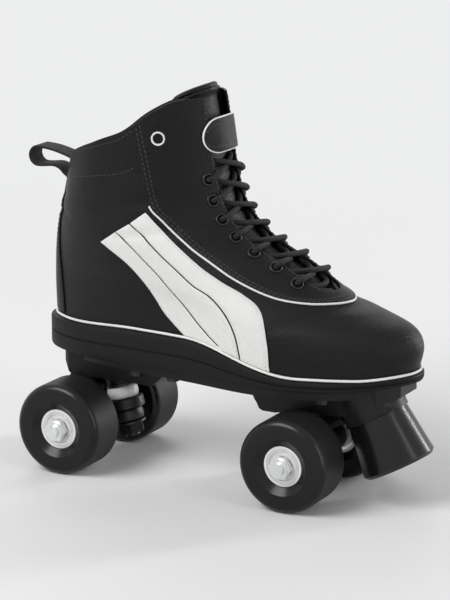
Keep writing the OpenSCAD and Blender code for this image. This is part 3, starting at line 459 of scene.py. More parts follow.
def welt(x):
    """Height of the sole's top."""
    return 20 + 3*ease(-100, -45, x) - 15.5*ease(-9, 68, x) + 2*ease(100, 127.5, x)


def under(x):
    """Height of the sole's underside, which lifts at the toe."""
    return 4*ease(76, 130, x)


# %% Skin of the boot
def girth(s, v):
    """Half width at share s of the length and level v."""
    up, top = ease(0, 0.5, v), ease(0.5, 1, v)
    levels = [mix(mix(low, mid, up), high, top) for low, mid, high in
              ((33, 35, 36), (34, 36, 37), (43, 42, 38), (42, 38, 38))]
    shape = mix(levels[0], levels[1], ease(0.1, 0.4, s))
    shape = mix(shape, levels[2], ease(0.35, 0.7, s))
    return mix(shape, levels[3], ease(0.7, 0.95, s))


def squareness(v):
    return 2.9 - 0.8*ease(0, 0.3, v)


def chord(x):
    """Height of the straight line from the heel's lowest point to the toe's."""
    return mix(HEEL_LINE[0][1], FRONT_LINE[0][1], (x - HEEL_X)/(TOE_X - HEEL_X))


def share_at(q):
    """Share of the length at q, from the heel (0) to the toe (1)."""
    return (1 - np.cos(np.radians(q)))/2


def swing(s):
    """How far the toe swings to the inner side, at share s of the length."""
    return 6*ease(0.55, 1, s)


def skin(q, v):
    """Point of the smooth outside."""
    turn = np.radians(q)
    s = share_at(q)
    heel, front = heel_line(v), bend(FRONT_LINE, v)
    x, z = mix(heel[..., 0], front[..., 0], s), mix(heel[..., 1], front[..., 1], s)
    y = np.sign(np.sin(turn))*girth(s, v)*np.sqrt(
        np.maximum(0, 1 - np.abs(np.cos(turn))**squareness(v)))
    return np.stack([x, y + swing(s)*(1 - ease(0.2, 0.6, v)),
                     z + (welt(x) - chord(x))*(1 - ease(0, 0.45, v))], -1)


def outward(q, v):
    """Direction away from the boot."""
    up = skin(q, np.minimum(1, v + 0.006)) - skin(q, np.maximum(0, v - 0.006))
    n = np.cross(up, skin(q + 0.6, v) - skin(q - 0.6, v))
    return n/np.linalg.norm(n, axis=-1, keepdims=True)


# about how many millimetres of leather one degree of q and one whole v are
Q_MM, V_MM = 1.1, 165
# each fold: from (q, v) to (q, v), depth in millimetres, width in millimetres
FOLDS = [(124, .60, 74, .545, .9, 3.2), (116, .685, 66, .65, .8, 3.4), (108, .765, 62, .745, .5, 3.6),
         (40, .60, 6, .615, .7, 3.4), (34, .70, 5, .69, .5, 3.2), (152, .325, 116, .215, .6, 3.0),
         (140, .29, 108, .16, .5, 2.8)]


def fold(q, v):
    """How far the leather dips at its folds, which lie alike on both sides."""
    sunk = 0.0
    for q0, v0, q1, v1, depth, width in FOLDS:
        a, b = np.array([q0*Q_MM, v0*V_MM]), np.array([q1*Q_MM, v1*V_MM])
        p = np.stack([np.abs((q + 180) % 360 - 180)*Q_MM, v*V_MM], -1) - a
        t = np.clip(p @ (b - a)/((b - a) @ (b - a)), 0, 1)
        away = np.linalg.norm(p - t[..., None]*(b - a), axis=-1)/width
        sunk = sunk + depth*np.exp(-away**2)*(1 - 0.4*away**2)*np.sin(np.pi*mix(0.12, 0.88, t))
    return sunk


def on_boot(q, v, off):
    """Point in metres, off millimetres outside the leather."""
    q, v, off = np.broadcast_arrays(*(np.asarray(k, float) for k in (q, v, off)))
    spot = skin(q, v) + (off - fold(q, v))[..., None]*outward(q, v)
    return (spot + (0, 0, SOLE_UNDERSIDE))*MM


def front_angle(half_width, v):
    """q at which the outside lies that far from the middle, near the front."""
    reach = np.minimum(0.98, half_width/girth(1.0, v))
    return 180 - np.degrees(np.arccos((1 - reach**2)**(1/squareness(v))))


def collar_wave(q, v):
    """v moved so that the collar's edge rises at the front and dips behind the ankle."""
    s = share_at(q)
    return v + ease(0.55, COLLAR, v)*(0.036*ease(0.5, 0.95, s)*(1 - ease(0.82, 1, s))
                                      - 0.026*ease(0.02, 0.7, s)*(1 - ease(0.45, 0.75, s)))


print("toe tip", on_boot(180, 0.1, 0).round(4), "collar back", on_boot(0, COLLAR, 0).round(4))

# %% [markdown]
# ## Helpers for the making
# A leather piece starts as a flat grid, like the hide it is cut from. Each corner of the
# grid is then moved onto the boot, which keeps tidy quads and a UV map that runs across and
# along the piece. Solidify gives it its thickness and Bevel its rolled edge.

# %% Pull a grid into place
EDGE_ANGLE = math.radians(55)


def choose(*pieces):
    """Selects these pieces and no other, and makes the first of them the active one."""
    bpy.ops.object.select_all(action="DESELECT")
    for piece in pieces:
        piece.select_set(True)
    if pieces:
        bpy.context.view_layer.objects.active = pieces[0]


def laid(name, columns, rows, place):
    """A grid whose corners go to place(across, along), both from 0 to 1."""
    choose()
    bpy.ops.mesh.primitive_grid_add(x_subdivisions=columns, y_subdivisions=rows, size=1)
    piece = bpy.context.object
    piece.name = piece.data.name = name
    flat = np.empty(3*len(piece.data.vertices))
    piece.data.vertices.foreach_get("co", flat)
    flat = flat.reshape(-1, 3) + 0.5
    piece.data.vertices.foreach_set("co", np.ascontiguousarray(place(flat[:, 0], flat[:, 1])).ravel())
    piece.data.update()
    return piece


def shape(piece, kind, **settings):
    """Adds a modifier with those settings and applies it."""
    choose(piece)
    bpy.ops.object.modifier_add(type=kind)
    modifier = piece.modifiers[-1]
    for key, value in settings.items():
        setattr(modifier, key, value)
    bpy.ops.object.modifier_apply(modifier=modifier.name)


def weld(piece, reach=0.00004):
    """Merges corners that meet and turns all faces outwards."""
    choose(piece)
    bpy.ops.object.mode_set(mode="EDIT")
    bpy.ops.mesh.select_all(action="SELECT")
    bpy.ops.mesh.remove_doubles(threshold=reach)
    bpy.ops.mesh.normals_make_consistent(inside=False)
    bpy.ops.object.mode_set(mode="OBJECT")


def thicken(piece, thickness, roll, offset=-1, segments=3):
    """Gives a sheet its thickness, towards its back if not told otherwise, and rolls its edges."""
    shape(piece, "SOLIDIFY", thickness=thickness*MM, offset=offset)
    shape(piece, "BEVEL", width=roll*MM, segments=segments, limit_method="ANGLE", angle_limit=EDGE_ANGLE)


def dress(piece, cover, body, slot, *stands_for, sharp=50):
    """Gives a finished piece its finish and its body, and hides the solids that it stands for."""
    choose(piece)
    bpy.ops.object.shade_smooth_by_angle(angle=math.radians(sharp))
    piece.data.materials.clear()
    piece.data.materials.append(cover)
    if body:
        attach(piece, body)
    if stands_for:
        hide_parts(*stands_for)
    triangles = sum(len(f.vertices) - 2 for f in piece.data.polygons)
    print(f"{piece.name}: {triangles} triangles on {body}")


# %% Cords and stitches
STITCH_LIFT = 0.02


def run_along(route):
    """How far along a route each of its points lies."""
    return np.concatenate([[0], np.cumsum(np.linalg.norm(np.diff(route, axis=0), axis=1))])


def read(table, run, at):
    """The three columns of a table whose rows lie at those runs, read in between."""
    return np.stack([np.interp(at, run, table[:, k]) for k in range(3)], -1)


def evenly(route, step, closed=False):
    """The route's points, spaced evenly at about that step."""
    route = np.vstack([route, route[:1]]) if closed else np.asarray(route)
    run = run_along(route)
    count = max(4, int(round(run[-1]/step)))
    spots = np.linspace(0, run[-1], count + 1)[:count if closed else count + 1]
    return read(route, run, spots)


def smoothed(route, rounds=3):
    """Cuts the corners of an open route, which rounds it and never overshoots."""
    for _ in range(rounds):
        ahead, behind = route[1:], route[:-1]
        cut = np.stack([0.75*behind + 0.25*ahead, 0.25*behind + 0.75*ahead], 1).reshape(-1, 3)
        route = np.vstack([route[:1], cut, route[-1:]])
    return route


def tube(name, route, radius, sides=10, closed=False):
    """A round cord along a route in metres, from a grid rolled up round it. Ends are domed."""
    n = len(route)
    ahead = np.roll(route, -1, 0) - np.roll(route, 1, 0)
    if not closed:
        ahead[0], ahead[-1] = route[1] - route[0], route[-1] - route[-2]
    ahead /= np.linalg.norm(ahead, axis=1, keepdims=True)
    side, sides_of = np.cross(ahead[0], (0.3, 0.2, 0.93)), []
    for d in ahead:
        side = side - (side @ d)*d
        side /= np.linalg.norm(side)
        sides_of.append(side)
    sides_of = np.array(sides_of)
    ups = np.cross(ahead, sides_of)
    rows = n if closed else n + 3

    def place(around, along):
        row = np.rint(along*rows).astype(int)
        if closed:
            ring, size, push = row % n, 1.0, 0.0
        else:
            ring = np.clip(row - 2, 0, n - 1)
            size = np.select([(row == 0) | (row == rows), (row == 1) | (row == rows - 1)], [0.0, 0.75], 1.0)
            push = np.select([row == 0, row == 1, row == rows - 1, row == rows], [-1, -0.65, 0.65, 1], 0.0)
        turn = around*2*np.pi
        arm = np.cos(turn)[:, None]*sides_of[ring] + np.sin(turn)[:, None]*ups[ring]
        return route[ring] + radius*(arm*np.reshape(size, (-1, 1)) + ahead[ring]*np.reshape(push, (-1, 1)))

    cord = laid(name, sides, rows, place)
    weld(cord, radius*0.02)
    return cord


def stitch_rows(name, rows, step=3.0, length=2.1, width=0.62):
    """Stitches along rows of (points, outward directions) in metres: one is modelled, then copied."""
    choose()
    bpy.ops.mesh.primitive_uv_sphere_add(segments=6, ring_count=6, radius=1)
    one = bpy.context.object
    corners = np.array([v.co for v in one.data.vertices])
    corners = np.stack([np.sign(corners[:, 2])*np.abs(corners[:, 2])**0.6*length/2, corners[:, 1]*width/2,
                        corners[:, 0]*width*0.4], -1)*MM
    patches = [tuple(f.vertices) for f in one.data.polygons]
    bpy.data.objects.remove(one)
    spots, faces = [], []
    for points, away in rows:
        run = run_along(points)
        count = max(1, int(run[-1]/(step*MM)))
        mids = (np.arange(count) + 0.5)*run[-1]/count
        ahead = read(points, run, mids + 0.0006) - read(points, run, mids - 0.0006)
        for centre, d, n in zip(read(points, run, mids), ahead, read(away, run, mids)):
            d = d/np.linalg.norm(d)
            n = n - (n @ d)*d
            n = n/np.linalg.norm(n)
            faces += [tuple(i + len(spots)*len(corners) for i in f) for f in patches]
            spots.append(centre + corners @ np.stack([d, np.cross(n, d), n]))
    mesh = bpy.data.meshes.new(name)
    mesh.from_pydata(np.concatenate(spots).tolist(), [], faces)
    piece = bpy.data.objects.new(name, mesh)
    scene.collection.objects.link(piece)
    weld(piece, 0.000001)
    print(name, "has", len(spots), "stitches")
    return piece


def seam(q, v, off):
    """A row for stitches on the boot's surface."""
    return on_boot(q, v, off), outward(np.asarray(q, float), np.asarray(v, float))


# %% [markdown]
# ## Upper
# The upper is one closed shell of black leather up to the throat, where it opens for the
# tongue. Sculpting could make it, but then the facing and the stripes would not follow it.
# A wrapped grid does: its two side edges meet down the toe and are merged there.

# %% Upper
def shell_chart(across, along, low, high, half_gap, off):
    """Round the whole boot from level low to high, open at the throat, half_gap to each side."""
    v = mix(low, high, along)
    edge = mix(180, front_angle(half_gap, v), ease(THROAT - 0.004, THROAT + 0.03, v))
    q = mix(edge, -edge, across)
    return q, collar_wave(q, v), off


upper = laid("upper_leather", 168, 84, lambda a, b: on_boot(*shell_chart(a, b, 0.004, COLLAR, 24, 0.0)))
weld(upper)
thicken(upper, 2.0, 0.5)
dress(upper, black_leather, BOOT, "black_leather", "boot_upper")

# %% [markdown]
# ## Lining
# The lining is a knit over thin foam inside the leather. It is laid like the upper, one
# leather's thickness further in, and its edge stands a little above the leather.

# %% Lining
lining = laid("lining_cloth", 110, 56,
              lambda a, b: on_boot(*shell_chart(a, b, 0.02, COLLAR + 0.008, 25, -2.5)))
weld(lining)
thicken(lining, 3.0, 1.2)
dress(lining, lining_knit, BOOT, "lining_fabric", "boot_lining")

# %% [markdown]
# ## Facing
# The facing carries the eyelets and goes round the throat like a horseshoe. Its outer edge
# is drawn as points of (q, v) read along the boot; its inner edge follows the lacing gap.
# The grid spans the two, so its rows fan out round the toe end of the throat.

# %% Facing
FACING_TOP = 1.6
FACING_SEAM = [(180, .357), (171, .358), (159, .358), (146, .359), (135, .372), (128.5, .402), (124, .447),
               (122.8, .51), (121, .565), (117, .618), (111.5, .664), (109, .745), (106, .83), (104, .905)]
FACING_GAP = [(0, .392), (3, .393), (6.5, .396), (9.6, .402), (11.8, .412), (12.8, .43), (13, .47),
              (13, .52), (13, .57), (13, .62), (13, .665), (13, .745), (13, .83), (13, .905)]


def facing_chart(across, along, off=FACING_TOP):
    """across from the seam (0) to the lacing gap (1), along from the inner collar (-1) to the outer (1)."""
    t = np.abs(along)
    outer, inner = bend(FACING_SEAM, t), bend(FACING_GAP, t)
    v = mix(outer[..., 1], inner[..., 1], across)
    q = mix(outer[..., 0], front_angle(inner[..., 0], inner[..., 1]), across)
    q = np.where(along > 0, -q, q)
    return q, collar_wave(q, v), off


facing = laid("facing_leather", 16, 220, lambda a, b: on_boot(*facing_chart(1 - a, 1 - 2*b)))
weld(facing)
thicken(facing, 1.5, 0.45)

# %% [markdown]
# Fifteen holes go through the facing: seven pairs for the lace, and a larger one that lets
# air in at the ankle. They are cut with a Boolean modifier: one cutter is a cylinder set on
# the leather, and all of them are joined first, so that the cut is made once.

# %% Eyelet holes
EYELET_LEVELS, EYELET_HALF = np.linspace(0.42, 0.71, 7), 18.0
LACE_HOLES = [(side*front_angle(EYELET_HALF, v), v) for v in EYELET_LEVELS for side in (-1, 1)]
VENT_HOLE = (-121, 0.84)
LACE_BORE, VENT_BORE, BARREL = 4.6, 6.4, 0.3
CUT_SLACK, CUT_DEPTH = 0.1, 12


def stand_on(q, v, off):
    """Place and turn of something that stands on the leather, its z outwards."""
    q, v = np.array([float(q)]), np.array([float(v)])
    away = Vector(outward(q, v)[0])
    place = (skin(q, v)[0] + off*np.array(away) + (0, 0, SOLE_UNDERSIDE))*MM
    return place, away.to_track_quat("Z", "Y").to_euler()


choose()
cutters = []
for hole in (*LACE_HOLES, VENT_HOLE):
    bore = VENT_BORE if hole == VENT_HOLE else LACE_BORE
    spot, turn = stand_on(*hole, 0)
    bpy.ops.mesh.primitive_cylinder_add(vertices=28, radius=(bore/2 + BARREL + CUT_SLACK)*MM,
                                        depth=CUT_DEPTH*MM, location=spot, rotation=turn)
    cutters.append(bpy.context.object)
choose(*cutters[::-1])
bpy.ops.object.join()
punch = bpy.context.object
shape(facing, "BOOLEAN", operation="DIFFERENCE", object=punch, solver="EXACT")
bpy.data.objects.remove(punch)
dress(facing, facing_leather, BOOT, "facing_leather", "eyestay")

# %% [markdown]
# ## Eyelets
# An eyelet is a short metal tube whose top is rolled over onto the leather. A cut through
# one is drawn as an outline, a grid carries it round the middle, and the finished eyelet is
# copied to each hole.

# %% Eyelets
LACE_RIM, LACE_RIM_HEIGHT, VENT_RIM, VENT_RIM_HEIGHT = 8.4, 1.0, 8.6, 0.75


def eyelets(name, holes, bore, rim, height):
    """One eyelet in each hole: bore, outer width of the rim and its height over the leather."""
    roll = np.radians(np.linspace(-30, 180, 11))
    far = np.append((rim + bore)/4 + (rim - bore)/4*np.cos(roll), [bore/2, bore/2 + BARREL, bore/2 + BARREL])
    up = np.append(FACING_TOP + height*np.sin(roll), [0.1, 0.1, FACING_TOP - 0.4])

    def place(around, along):
        corner = np.rint(along*len(far)).astype(int) % len(far)
        turn = around*2*np.pi
        return np.stack([far[corner]*np.cos(turn), far[corner]*np.sin(turn), up[corner]], -1)*MM

    one = laid("first_eyelet", 36, len(far), place)
    weld(one)
    copies = []
    for hole in holes:
        copy = bpy.data.objects.new(name, one.data.copy())
        scene.collection.objects.link(copy)
        copy.location, copy.rotation_euler = stand_on(*hole, 0)
        copies.append(copy)
    bpy.data.objects.remove(one)
    choose(*copies)
    bpy.ops.object.join()
    bpy.ops.object.transform_apply(location=True, rotation=True, scale=True)
    return bpy.context.object


lace_eyelets = eyelets("lace_eyelets", LACE_HOLES, LACE_BORE, LACE_RIM, LACE_RIM_HEIGHT)
dress(lace_eyelets, eyelet_enamel, BOOT, "eyelet_metal", "eyelets")
vent_eyelet = eyelets("vent_eyelet", [VENT_HOLE], VENT_BORE, VENT_RIM, VENT_RIM_HEIGHT)
dress(vent_eyelet, white_enamel, BOOT, "white_eyelet", "ankle_eyelet")

# %% [markdown]
# Two rows of thread hold the facing along its seam, and one runs beside the lacing gap.
# Stitches are real geometry: one is modelled and copied along each row, because a bump
# would vanish at the edge of the shape, where stitches show best.

# %% Facing stitches
def facing_row(away_from_seam, share, off=FACING_TOP + STITCH_LIFT, inner=False):
    """A row along the facing, that many millimetres from its seam or its lacing gap."""
    along = np.linspace(-share, share, 500)
    ends = [on_boot(*facing_chart(np.full_like(along, k), along)) for k in (0.0, 1.0)]
    across = away_from_seam*MM/np.linalg.norm(ends[1] - ends[0], axis=1)
    return seam(*facing_chart(1 - across if inner else across, along, off))


facing_thread = stitch_rows("facing_stitches", [facing_row(1.9, 0.985), facing_row(4.2, 0.985),
                                                facing_row(1.7, 0.985, inner=True)])
dress(facing_thread, black_thread, BOOT, "facing_leather")

# %% [markdown]
# A white cord is sewn into the front of that seam. It is a tube: a grid rolled up round a
# route, with its UV map running round and along, and its ends domed.

# %% White seam cord
SEAM_SHARE = 0.765
route = facing_row(-0.6, SEAM_SHARE, 0.6)[0]
seam_cord = tube("seam_cord", evenly(route, 0.0016), 0.75*MM)
dress(seam_cord, white_cord, BOOT, "white_piping")

# %% [markdown]
# ## Side stripes
# Three flared stripes of white leather run from the ankle down to the welt, on both sides.
# They are drawn in side view as four edges, and each point is then looked up on the boot:
# its level by halving an interval, its angle from its place along the boot.

# %% Stripes
STRIPE_EDGES = [
    [(-69, 76), (-60, 71), (-51, 66), (-43, 60), (-36, 53), (-30, 45), (-24, 37), (-16, 30), (-8, 24)],
    [(-57, 84), (-46, 77), (-36, 69), (-26, 61), (-17, 52), (-8, 43), (1, 34), (11, 26), (22, 19)],
    [(-45, 91), (-34, 83), (-23, 74), (-12, 66), (-1, 58), (11, 52), (21, 43), (28, 31), (32, 16)],
    [(-34, 99), (-22, 88), (-10, 78), (3, 69), (17, 61), (31, 54), (43, 45), (49, 29), (51, 11)]]
STRIPE_TOP = 1.6


def level_at(x, z):
    """Level v of a point in side view."""
    low, high = np.zeros_like(x), np.ones_like(x)
    for _ in range(22):
        v = (low + high)/2
        heel, front = heel_line(v), bend(FRONT_LINE, v)
        height = mix(heel[..., 1], front[..., 1], (x - heel[..., 0])/(front[..., 0] - heel[..., 0]))
        short = height + (welt(x) - chord(x))*(1 - ease(0, 0.45, v)) < z
        low, high = np.where(short, v, low), np.where(short, high, v)
    return (low + high)/2


def stripe_chart(stripe, side, across, along, off=None):
    """A point of one stripe; a millimetre and a bit is left free between neighbours."""
    left, right = bend(STRIPE_EDGES[stripe], along), bend(STRIPE_EDGES[stripe + 1], along)
    width = np.linalg.norm(right - left, axis=-1)
    first, last = (0.6/width if stripe > 0 else 0), (1 - 0.6/width if stripe < 2 else 1)
    spot = left + (right - left)*mix(first, last, across)[..., None]
    x, z = spot[..., 0], np.maximum(spot[..., 1], welt(spot[..., 0]) + 2.0)
    v = level_at(x, z)
    heel, front = heel_line(v)[..., 0], bend(FRONT_LINE, v)[..., 0]
    q = side*np.degrees(np.arccos(np.clip(1 - 2*(x - heel)/(front - heel), -1, 1)))
    edge = np.minimum(np.minimum(across, 1 - across)*width, np.minimum(along, 1 - along)*90)
    return q, v, STRIPE_TOP - 0.5*np.exp(-(edge/1.1)**2) if off is None else off


run = np.linspace(0.012, 0.988, 160)
for side, where in ((-1, "outer"), (1, "inner")):
    rows = []
    for stripe in range(3):
        band = laid(f"{where}_stripe_{stripe + 1}", 24, 96, lambda a, b: on_boot(
            *stripe_chart(stripe, side, 1 - a if side < 0 else a, b)))
        thicken(band, 1.5, 0.3)
        dress(band, white_leather, BOOT, "white_leather", f"{where}_stripes")
        rows += [seam(*stripe_chart(stripe, side, np.full_like(run, share), run, STRIPE_TOP))
                 for share in (0.11, 0.89)]
    sewn = stitch_rows(f"{where}_stripe_stitches", rows, 2.8, 2.0, 0.55)
    dress(sewn, white_thread, BOOT, "white_leather")

# %% [markdown]
# ## Heel strip
# A strip up the middle of the heel covers the seam there. It is laid like the stripes and
# sewn down both edges. Its top swells a little, because the end of the pull loop's tape is
# caught under it, pressed into the padded leather by its stitches.

# %% Heel strip
STRIP_T, TAPE_T, TAPE_SUNK = 1.2, 1.6, 1.1
STRIP_FROM, STRIP_TO = 0.02, 0.7


def heel_chart(across, along, off=STRIP_T):
    """across from the inner edge (0) to the outer (1), along from the welt up to the tape."""
    round_top = 0.25*ease(0.9, 1, along) + 0.1*np.clip((along - 0.965)/0.035, 0, 1)**2
    q = mix(27, 21, along)*(1 - round_top)*(1 - 2*across)
    edge = np.minimum(np.minimum(across, 1 - across)*40, np.minimum(along, 1 - along)*95)
    over_tape = (TAPE_T - TAPE_SUNK)*ease(0.9, 0.965, along)*(1 - ease(11, 15, np.abs(q)))
    return q, mix(STRIP_FROM, STRIP_TO, along), off + over_tape - 0.4*np.exp(-(edge/1.1)**2)


heel_strip = laid("heel_strip", 40, 90, lambda a, b: on_boot(*heel_chart(a, b)))
thicken(heel_strip, STRIP_T, 0.35)
dress(heel_strip, facing_leather, BOOT, "facing_leather", "backstay")
run = np.linspace(0.02, 0.95, 160)
heel_thread = stitch_rows("heel_stitches", [seam(*heel_chart(np.full_like(run, share), run))
                                            for share in (0.06, 0.12, 0.88, 0.94)])
dress(heel_thread, black_thread, BOOT, "facing_leather")
collar_run = np.linspace(-103, 103, 400)
collar_rows = [seam(collar_run, collar_wave(collar_run, np.full_like(collar_run, level)), STITCH_LIFT)
               for level in (COLLAR - 0.018, COLLAR - 0.13)]
collar_thread = stitch_rows("collar_stitches", collar_rows)
dress(collar_thread, black_thread, BOOT, "black_leather")

# %% [markdown]
# ## Lace
# One lace goes up the seven rows, from side to side, and its ends are tucked in behind the
# tongue's top. Each crossing is a short list of points: up out of an eyelet, over its rim,
# across the gap over or under its partner, and down behind the other side.

# %% Lace
LACE_R, EYELET_TOP = 1.75, FACING_TOP + LACE_RIM_HEIGHT
LACE_UNDER, LACE_OVER = -0.1 - LACE_R, EYELET_TOP + LACE_R
ROW_STEP = EYELET_LEVELS[1] - EYELET_LEVELS[0]


def crossing(side, v, over):
    """Points (across, off, level) from an eyelet to the other side."""
    middle = LACE_OVER - 1.8 - (0 if over else 2*LACE_R)
    return [(side*EYELET_HALF, LACE_UNDER - 0.2, v), (side*EYELET_HALF, 0.6, v),
            (side*EYELET_HALF, EYELET_TOP + 0.1, v),
            (side*(EYELET_HALF - 0.7), EYELET_TOP + 1.55, v + 0.02*ROW_STEP),
            (side*(EYELET_HALF - 2.6), LACE_OVER, v + 0.08*ROW_STEP),
            (side*(EYELET_HALF - 7), LACE_OVER - (0.9 if over else 1.2), v + 0.26*ROW_STEP),
            (0, middle, v + 0.5*ROW_STEP),
            (-side*8, 0.5 if over else LACE_UNDER + 0.1, v + 0.7*ROW_STEP),
            (-side*13.5, LACE_UNDER, v + 0.88*ROW_STEP)]


def lace_half(side):
    """One half of the lace, from the lowest row up to its tucked end."""
    points, s = [], side
    for v in EYELET_LEVELS:
        points += crossing(s, v, s > 0)
        s = -s
    top = EYELET_LEVELS[-1] + ROW_STEP
    return points + [(s*17, LACE_UNDER, top), (s*19, LACE_UNDER, top + 0.03), (s*20, LACE_UNDER, top + 0.06)]


points = np.array(lace_half(1)[::-1] + [(7.2, LACE_UNDER, 0.416), (-7.2, LACE_UNDER, 0.416)] + lace_half(-1))
turns = np.sign(points[:, 0] + 1e-9)*front_angle(np.abs(points[:, 0]), points[:, 2])
route = evenly(smoothed(on_boot(turns, points[:, 2], points[:, 1])), 0.0011)
lace_length = run_along(route)[-1]
lace = tube("lace_braid", route, LACE_R*MM, 12)
dress(lace, lace_braid, BOOT, "lace_cord", "laces", sharp=80)
print("lace length", round(lace_length, 3), "m")

# %% [markdown]
# ## Ankle strap
# A strap with a round end crosses the front of the collar from the inner side. Its edge is
# bound with white cord, which draws a half moon in the side view.

# %% Ankle strap
STRAP_LEVEL, STRAP_HALF, STRAP_TOP = 0.807, 0.039, 3.5
STRAP_SEWN, STRAP_TIP = 116, 207
ROUND_FROM, STRAIGHT = 0.6, 0.84


def strap_chart(u, side, off=STRAP_TOP):
    """u from the sewn end (0) to the round tip (1), side from the lower edge (-1) to the upper (1)."""
    turn = np.clip((u - ROUND_FROM)/(1 - ROUND_FROM), 0, 1)*np.pi/2
    share = np.where(u < ROUND_FROM, STRAIGHT*u/ROUND_FROM, STRAIGHT + (1 - STRAIGHT)*np.sin(turn))
    return mix(STRAP_SEWN, STRAP_TIP, share), STRAP_LEVEL + STRAP_HALF*np.cos(turn)*side, off


strap = laid("strap_leather", 72, 14, lambda a, b: on_boot(*strap_chart(1 - a, 2*b - 1)))
weld(strap)
thicken(strap, 1.7, 0.5)
dress(strap, black_leather, BOOT, "strap_leather", "ankle_strap")
there = np.linspace(0, 1, 200)
edge = np.concatenate([on_boot(*strap_chart(there, np.full_like(there, -1), STRAP_TOP - 0.9)),
                       on_boot(*strap_chart(there[::-1], np.full_like(there, 1), STRAP_TOP - 0.9))])
strap_cord = tube("strap_binding", evenly(edge, 0.0015), 0.8*MM)
dress(strap_cord, white_cord, BOOT, "white_piping")
across, along = np.linspace(-0.8, 0.8, 40), np.linspace(0.03, 0.97, 120)
strap_rows = [seam(*strap_chart(np.full_like(across, u), across)) for u in (0.03, 0.1)]
strap_rows += [seam(*strap_chart(along, np.full_like(along, side))) for side in (-0.68, 0.68)]
strap_thread = stitch_rows("strap_stitches", strap_rows)
dress(strap_thread, black_thread, BOOT, "strap_leather")

# %% [markdown]
# ## Pull loop
# The loop is woven tape. One end is caught in the seam just under the collar's edge; the tape
# bows round behind the heel, and its other end lies flat on the leather, sewn down with a
# boxed cross. Its route is drawn in side view and swept across the tape's width.

# %% Pull loop
LOOP_WIDTH, LOOP_R = 14.0, 6.0
LOOP_BOW = np.array([-131.4, SOLE_UNDERSIDE + 118.8])


def heel_spot(v, off):
    """Point of the heel line, that far out, in side view."""
    spot = on_boot(0.0, v, off)
    return np.array([spot[0], spot[2]])/MM


upper_run = [LOOP_BOW + p for p in ((27.5, -0.6), (25, 0.8), (22, 2.0), (17, 3.5), (11, 4.9), (6, 5.6))]
bow = [LOOP_BOW + LOOP_R*np.array([math.cos(a), math.sin(a)]) for a in np.radians(np.arange(80, 271, 14))]
lower_run = [LOOP_BOW + p for p in ((4, -5.7), (9, -4.9), (13, -5), (16.5, -6.6), (19.3, -9.6))]
sewn_end = [heel_spot(v, 0.05 + TAPE_T/2 - TAPE_SUNK) for v in (0.772, 0.75, 0.72, 0.682)]
side_view = np.array([(x*MM, 0, z*MM) for x, z in upper_run + bow + lower_run + sewn_end])
route = evenly(smoothed(side_view, 3), 0.0008)


def loop_place(across, along):
    spots = read(route, np.arange(len(route)), along*(len(route) - 1))
    spots[:, 1] = (across - 0.5)*LOOP_WIDTH*MM
    return spots


loop = laid("loop_tape", 14, 160, loop_place)
thicken(loop, TAPE_T, 0.5, offset=0, segments=2)
dress(loop, loop_tape, BOOT, "webbing", "pull_loop")
box = [(-5, .712), (5, .712), (5, .768), (-5, .768), (-5, .712), (5, .768)]
box_rows = []
for (y0, v0), (y1, v1) in zip(box, box[1:]):
    spots = np.array([heel_spot(v, TAPE_T + 0.1 - TAPE_SUNK) for v in np.linspace(v0, v1, 12)])*MM
    box_rows.append((np.stack([spots[:, 0], np.linspace(y0, y1, 12)*MM, spots[:, 1]], -1),
                     np.tile([-1.0, 0, 0.15], (12, 1))))
loop_thread = stitch_rows("loop_stitches", box_rows, 2.2, 1.7, 0.6)
dress(loop_thread, black_thread, BOOT, "webbing")

# %% [markdown]
# ## Padded tongue and collar
# A pad is a closed skin over foam. It starts as a thin closed shape, is remeshed so that its
# faces are even, and Blender's Cloth blows it up with a little pressure while its sewn end
# holds still. The move of each point is capped, so that the pad stays off its neighbours.

# %% Blow up a pad
CLOTH_STEPS, CLOTH_STIFFNESS = 20, 12


def puffed(pad, voxel, held, cap, pressure=4.0):
    """Remeshes a closed pad and swells it with Cloth; held(points) is true where it is sewn."""
    shape(pad, "REMESH", mode="VOXEL", voxel_size=voxel*MM)
    before = np.array([v.co for v in pad.data.vertices])
    grip = pad.vertex_groups.new(name="held")
    for i, share in enumerate(held(before)):
        grip.add([i], float(share), "REPLACE")
    choose(pad)
    bpy.ops.object.modifier_add(type="CLOTH")
    cloth = pad.modifiers[-1]
    cloth.settings.use_pressure = True
    cloth.settings.uniform_pressure_force = pressure
    cloth.settings.effector_weights.gravity = 0
    cloth.settings.vertex_group_mass = "held"
    cloth.settings.tension_stiffness = cloth.settings.compression_stiffness = CLOTH_STIFFNESS
    for step in range(1, CLOTH_STEPS + 1):
        scene.frame_set(step)
    bpy.ops.object.modifier_apply(modifier=cloth.name)
    scene.frame_set(1)
    pad.vertex_groups.clear()
    after = np.array([v.co for v in pad.data.vertices])
    move = after - before
    far = np.linalg.norm(move, axis=1, keepdims=True)
    move *= np.minimum(1, cap*MM/np.maximum(far, 1e-9))
    pad.data.vertices.foreach_set("co", (before + move).ravel())
    pad.data.update()
    print(pad.name, "swelled by up to", round(float(np.minimum(far, cap*MM).max())/MM, 2), "mm")
    shape(pad, "SMOOTH", factor=0.5, iterations=4)
    shape(pad, "SUBSURF", levels=1, render_levels=1)


# %% Tongue
TONGUE_DEPTH, TONGUE_TOP, TONGUE_LEAN = 6.6, 0.958, 6.0


def tongue_chart(across, along, off=0.0):
    """across from -1 to 1, along from the throat up to the top, which leans forward."""
    u = mix(0.37, TONGUE_TOP, along)
    v = u - 0.03*across**6*ease(0.8, 1, u)
    q = np.sign(across + 1e-9)*front_angle(np.abs(across)*mix(20, 26, ease(0.35, 0.85, u)), v)
    lean = TONGUE_LEAN*(1 - across**2)*ease(0.9, 0.97, u)
    return q, v, lean - TONGUE_DEPTH - off - 0.4*across**2


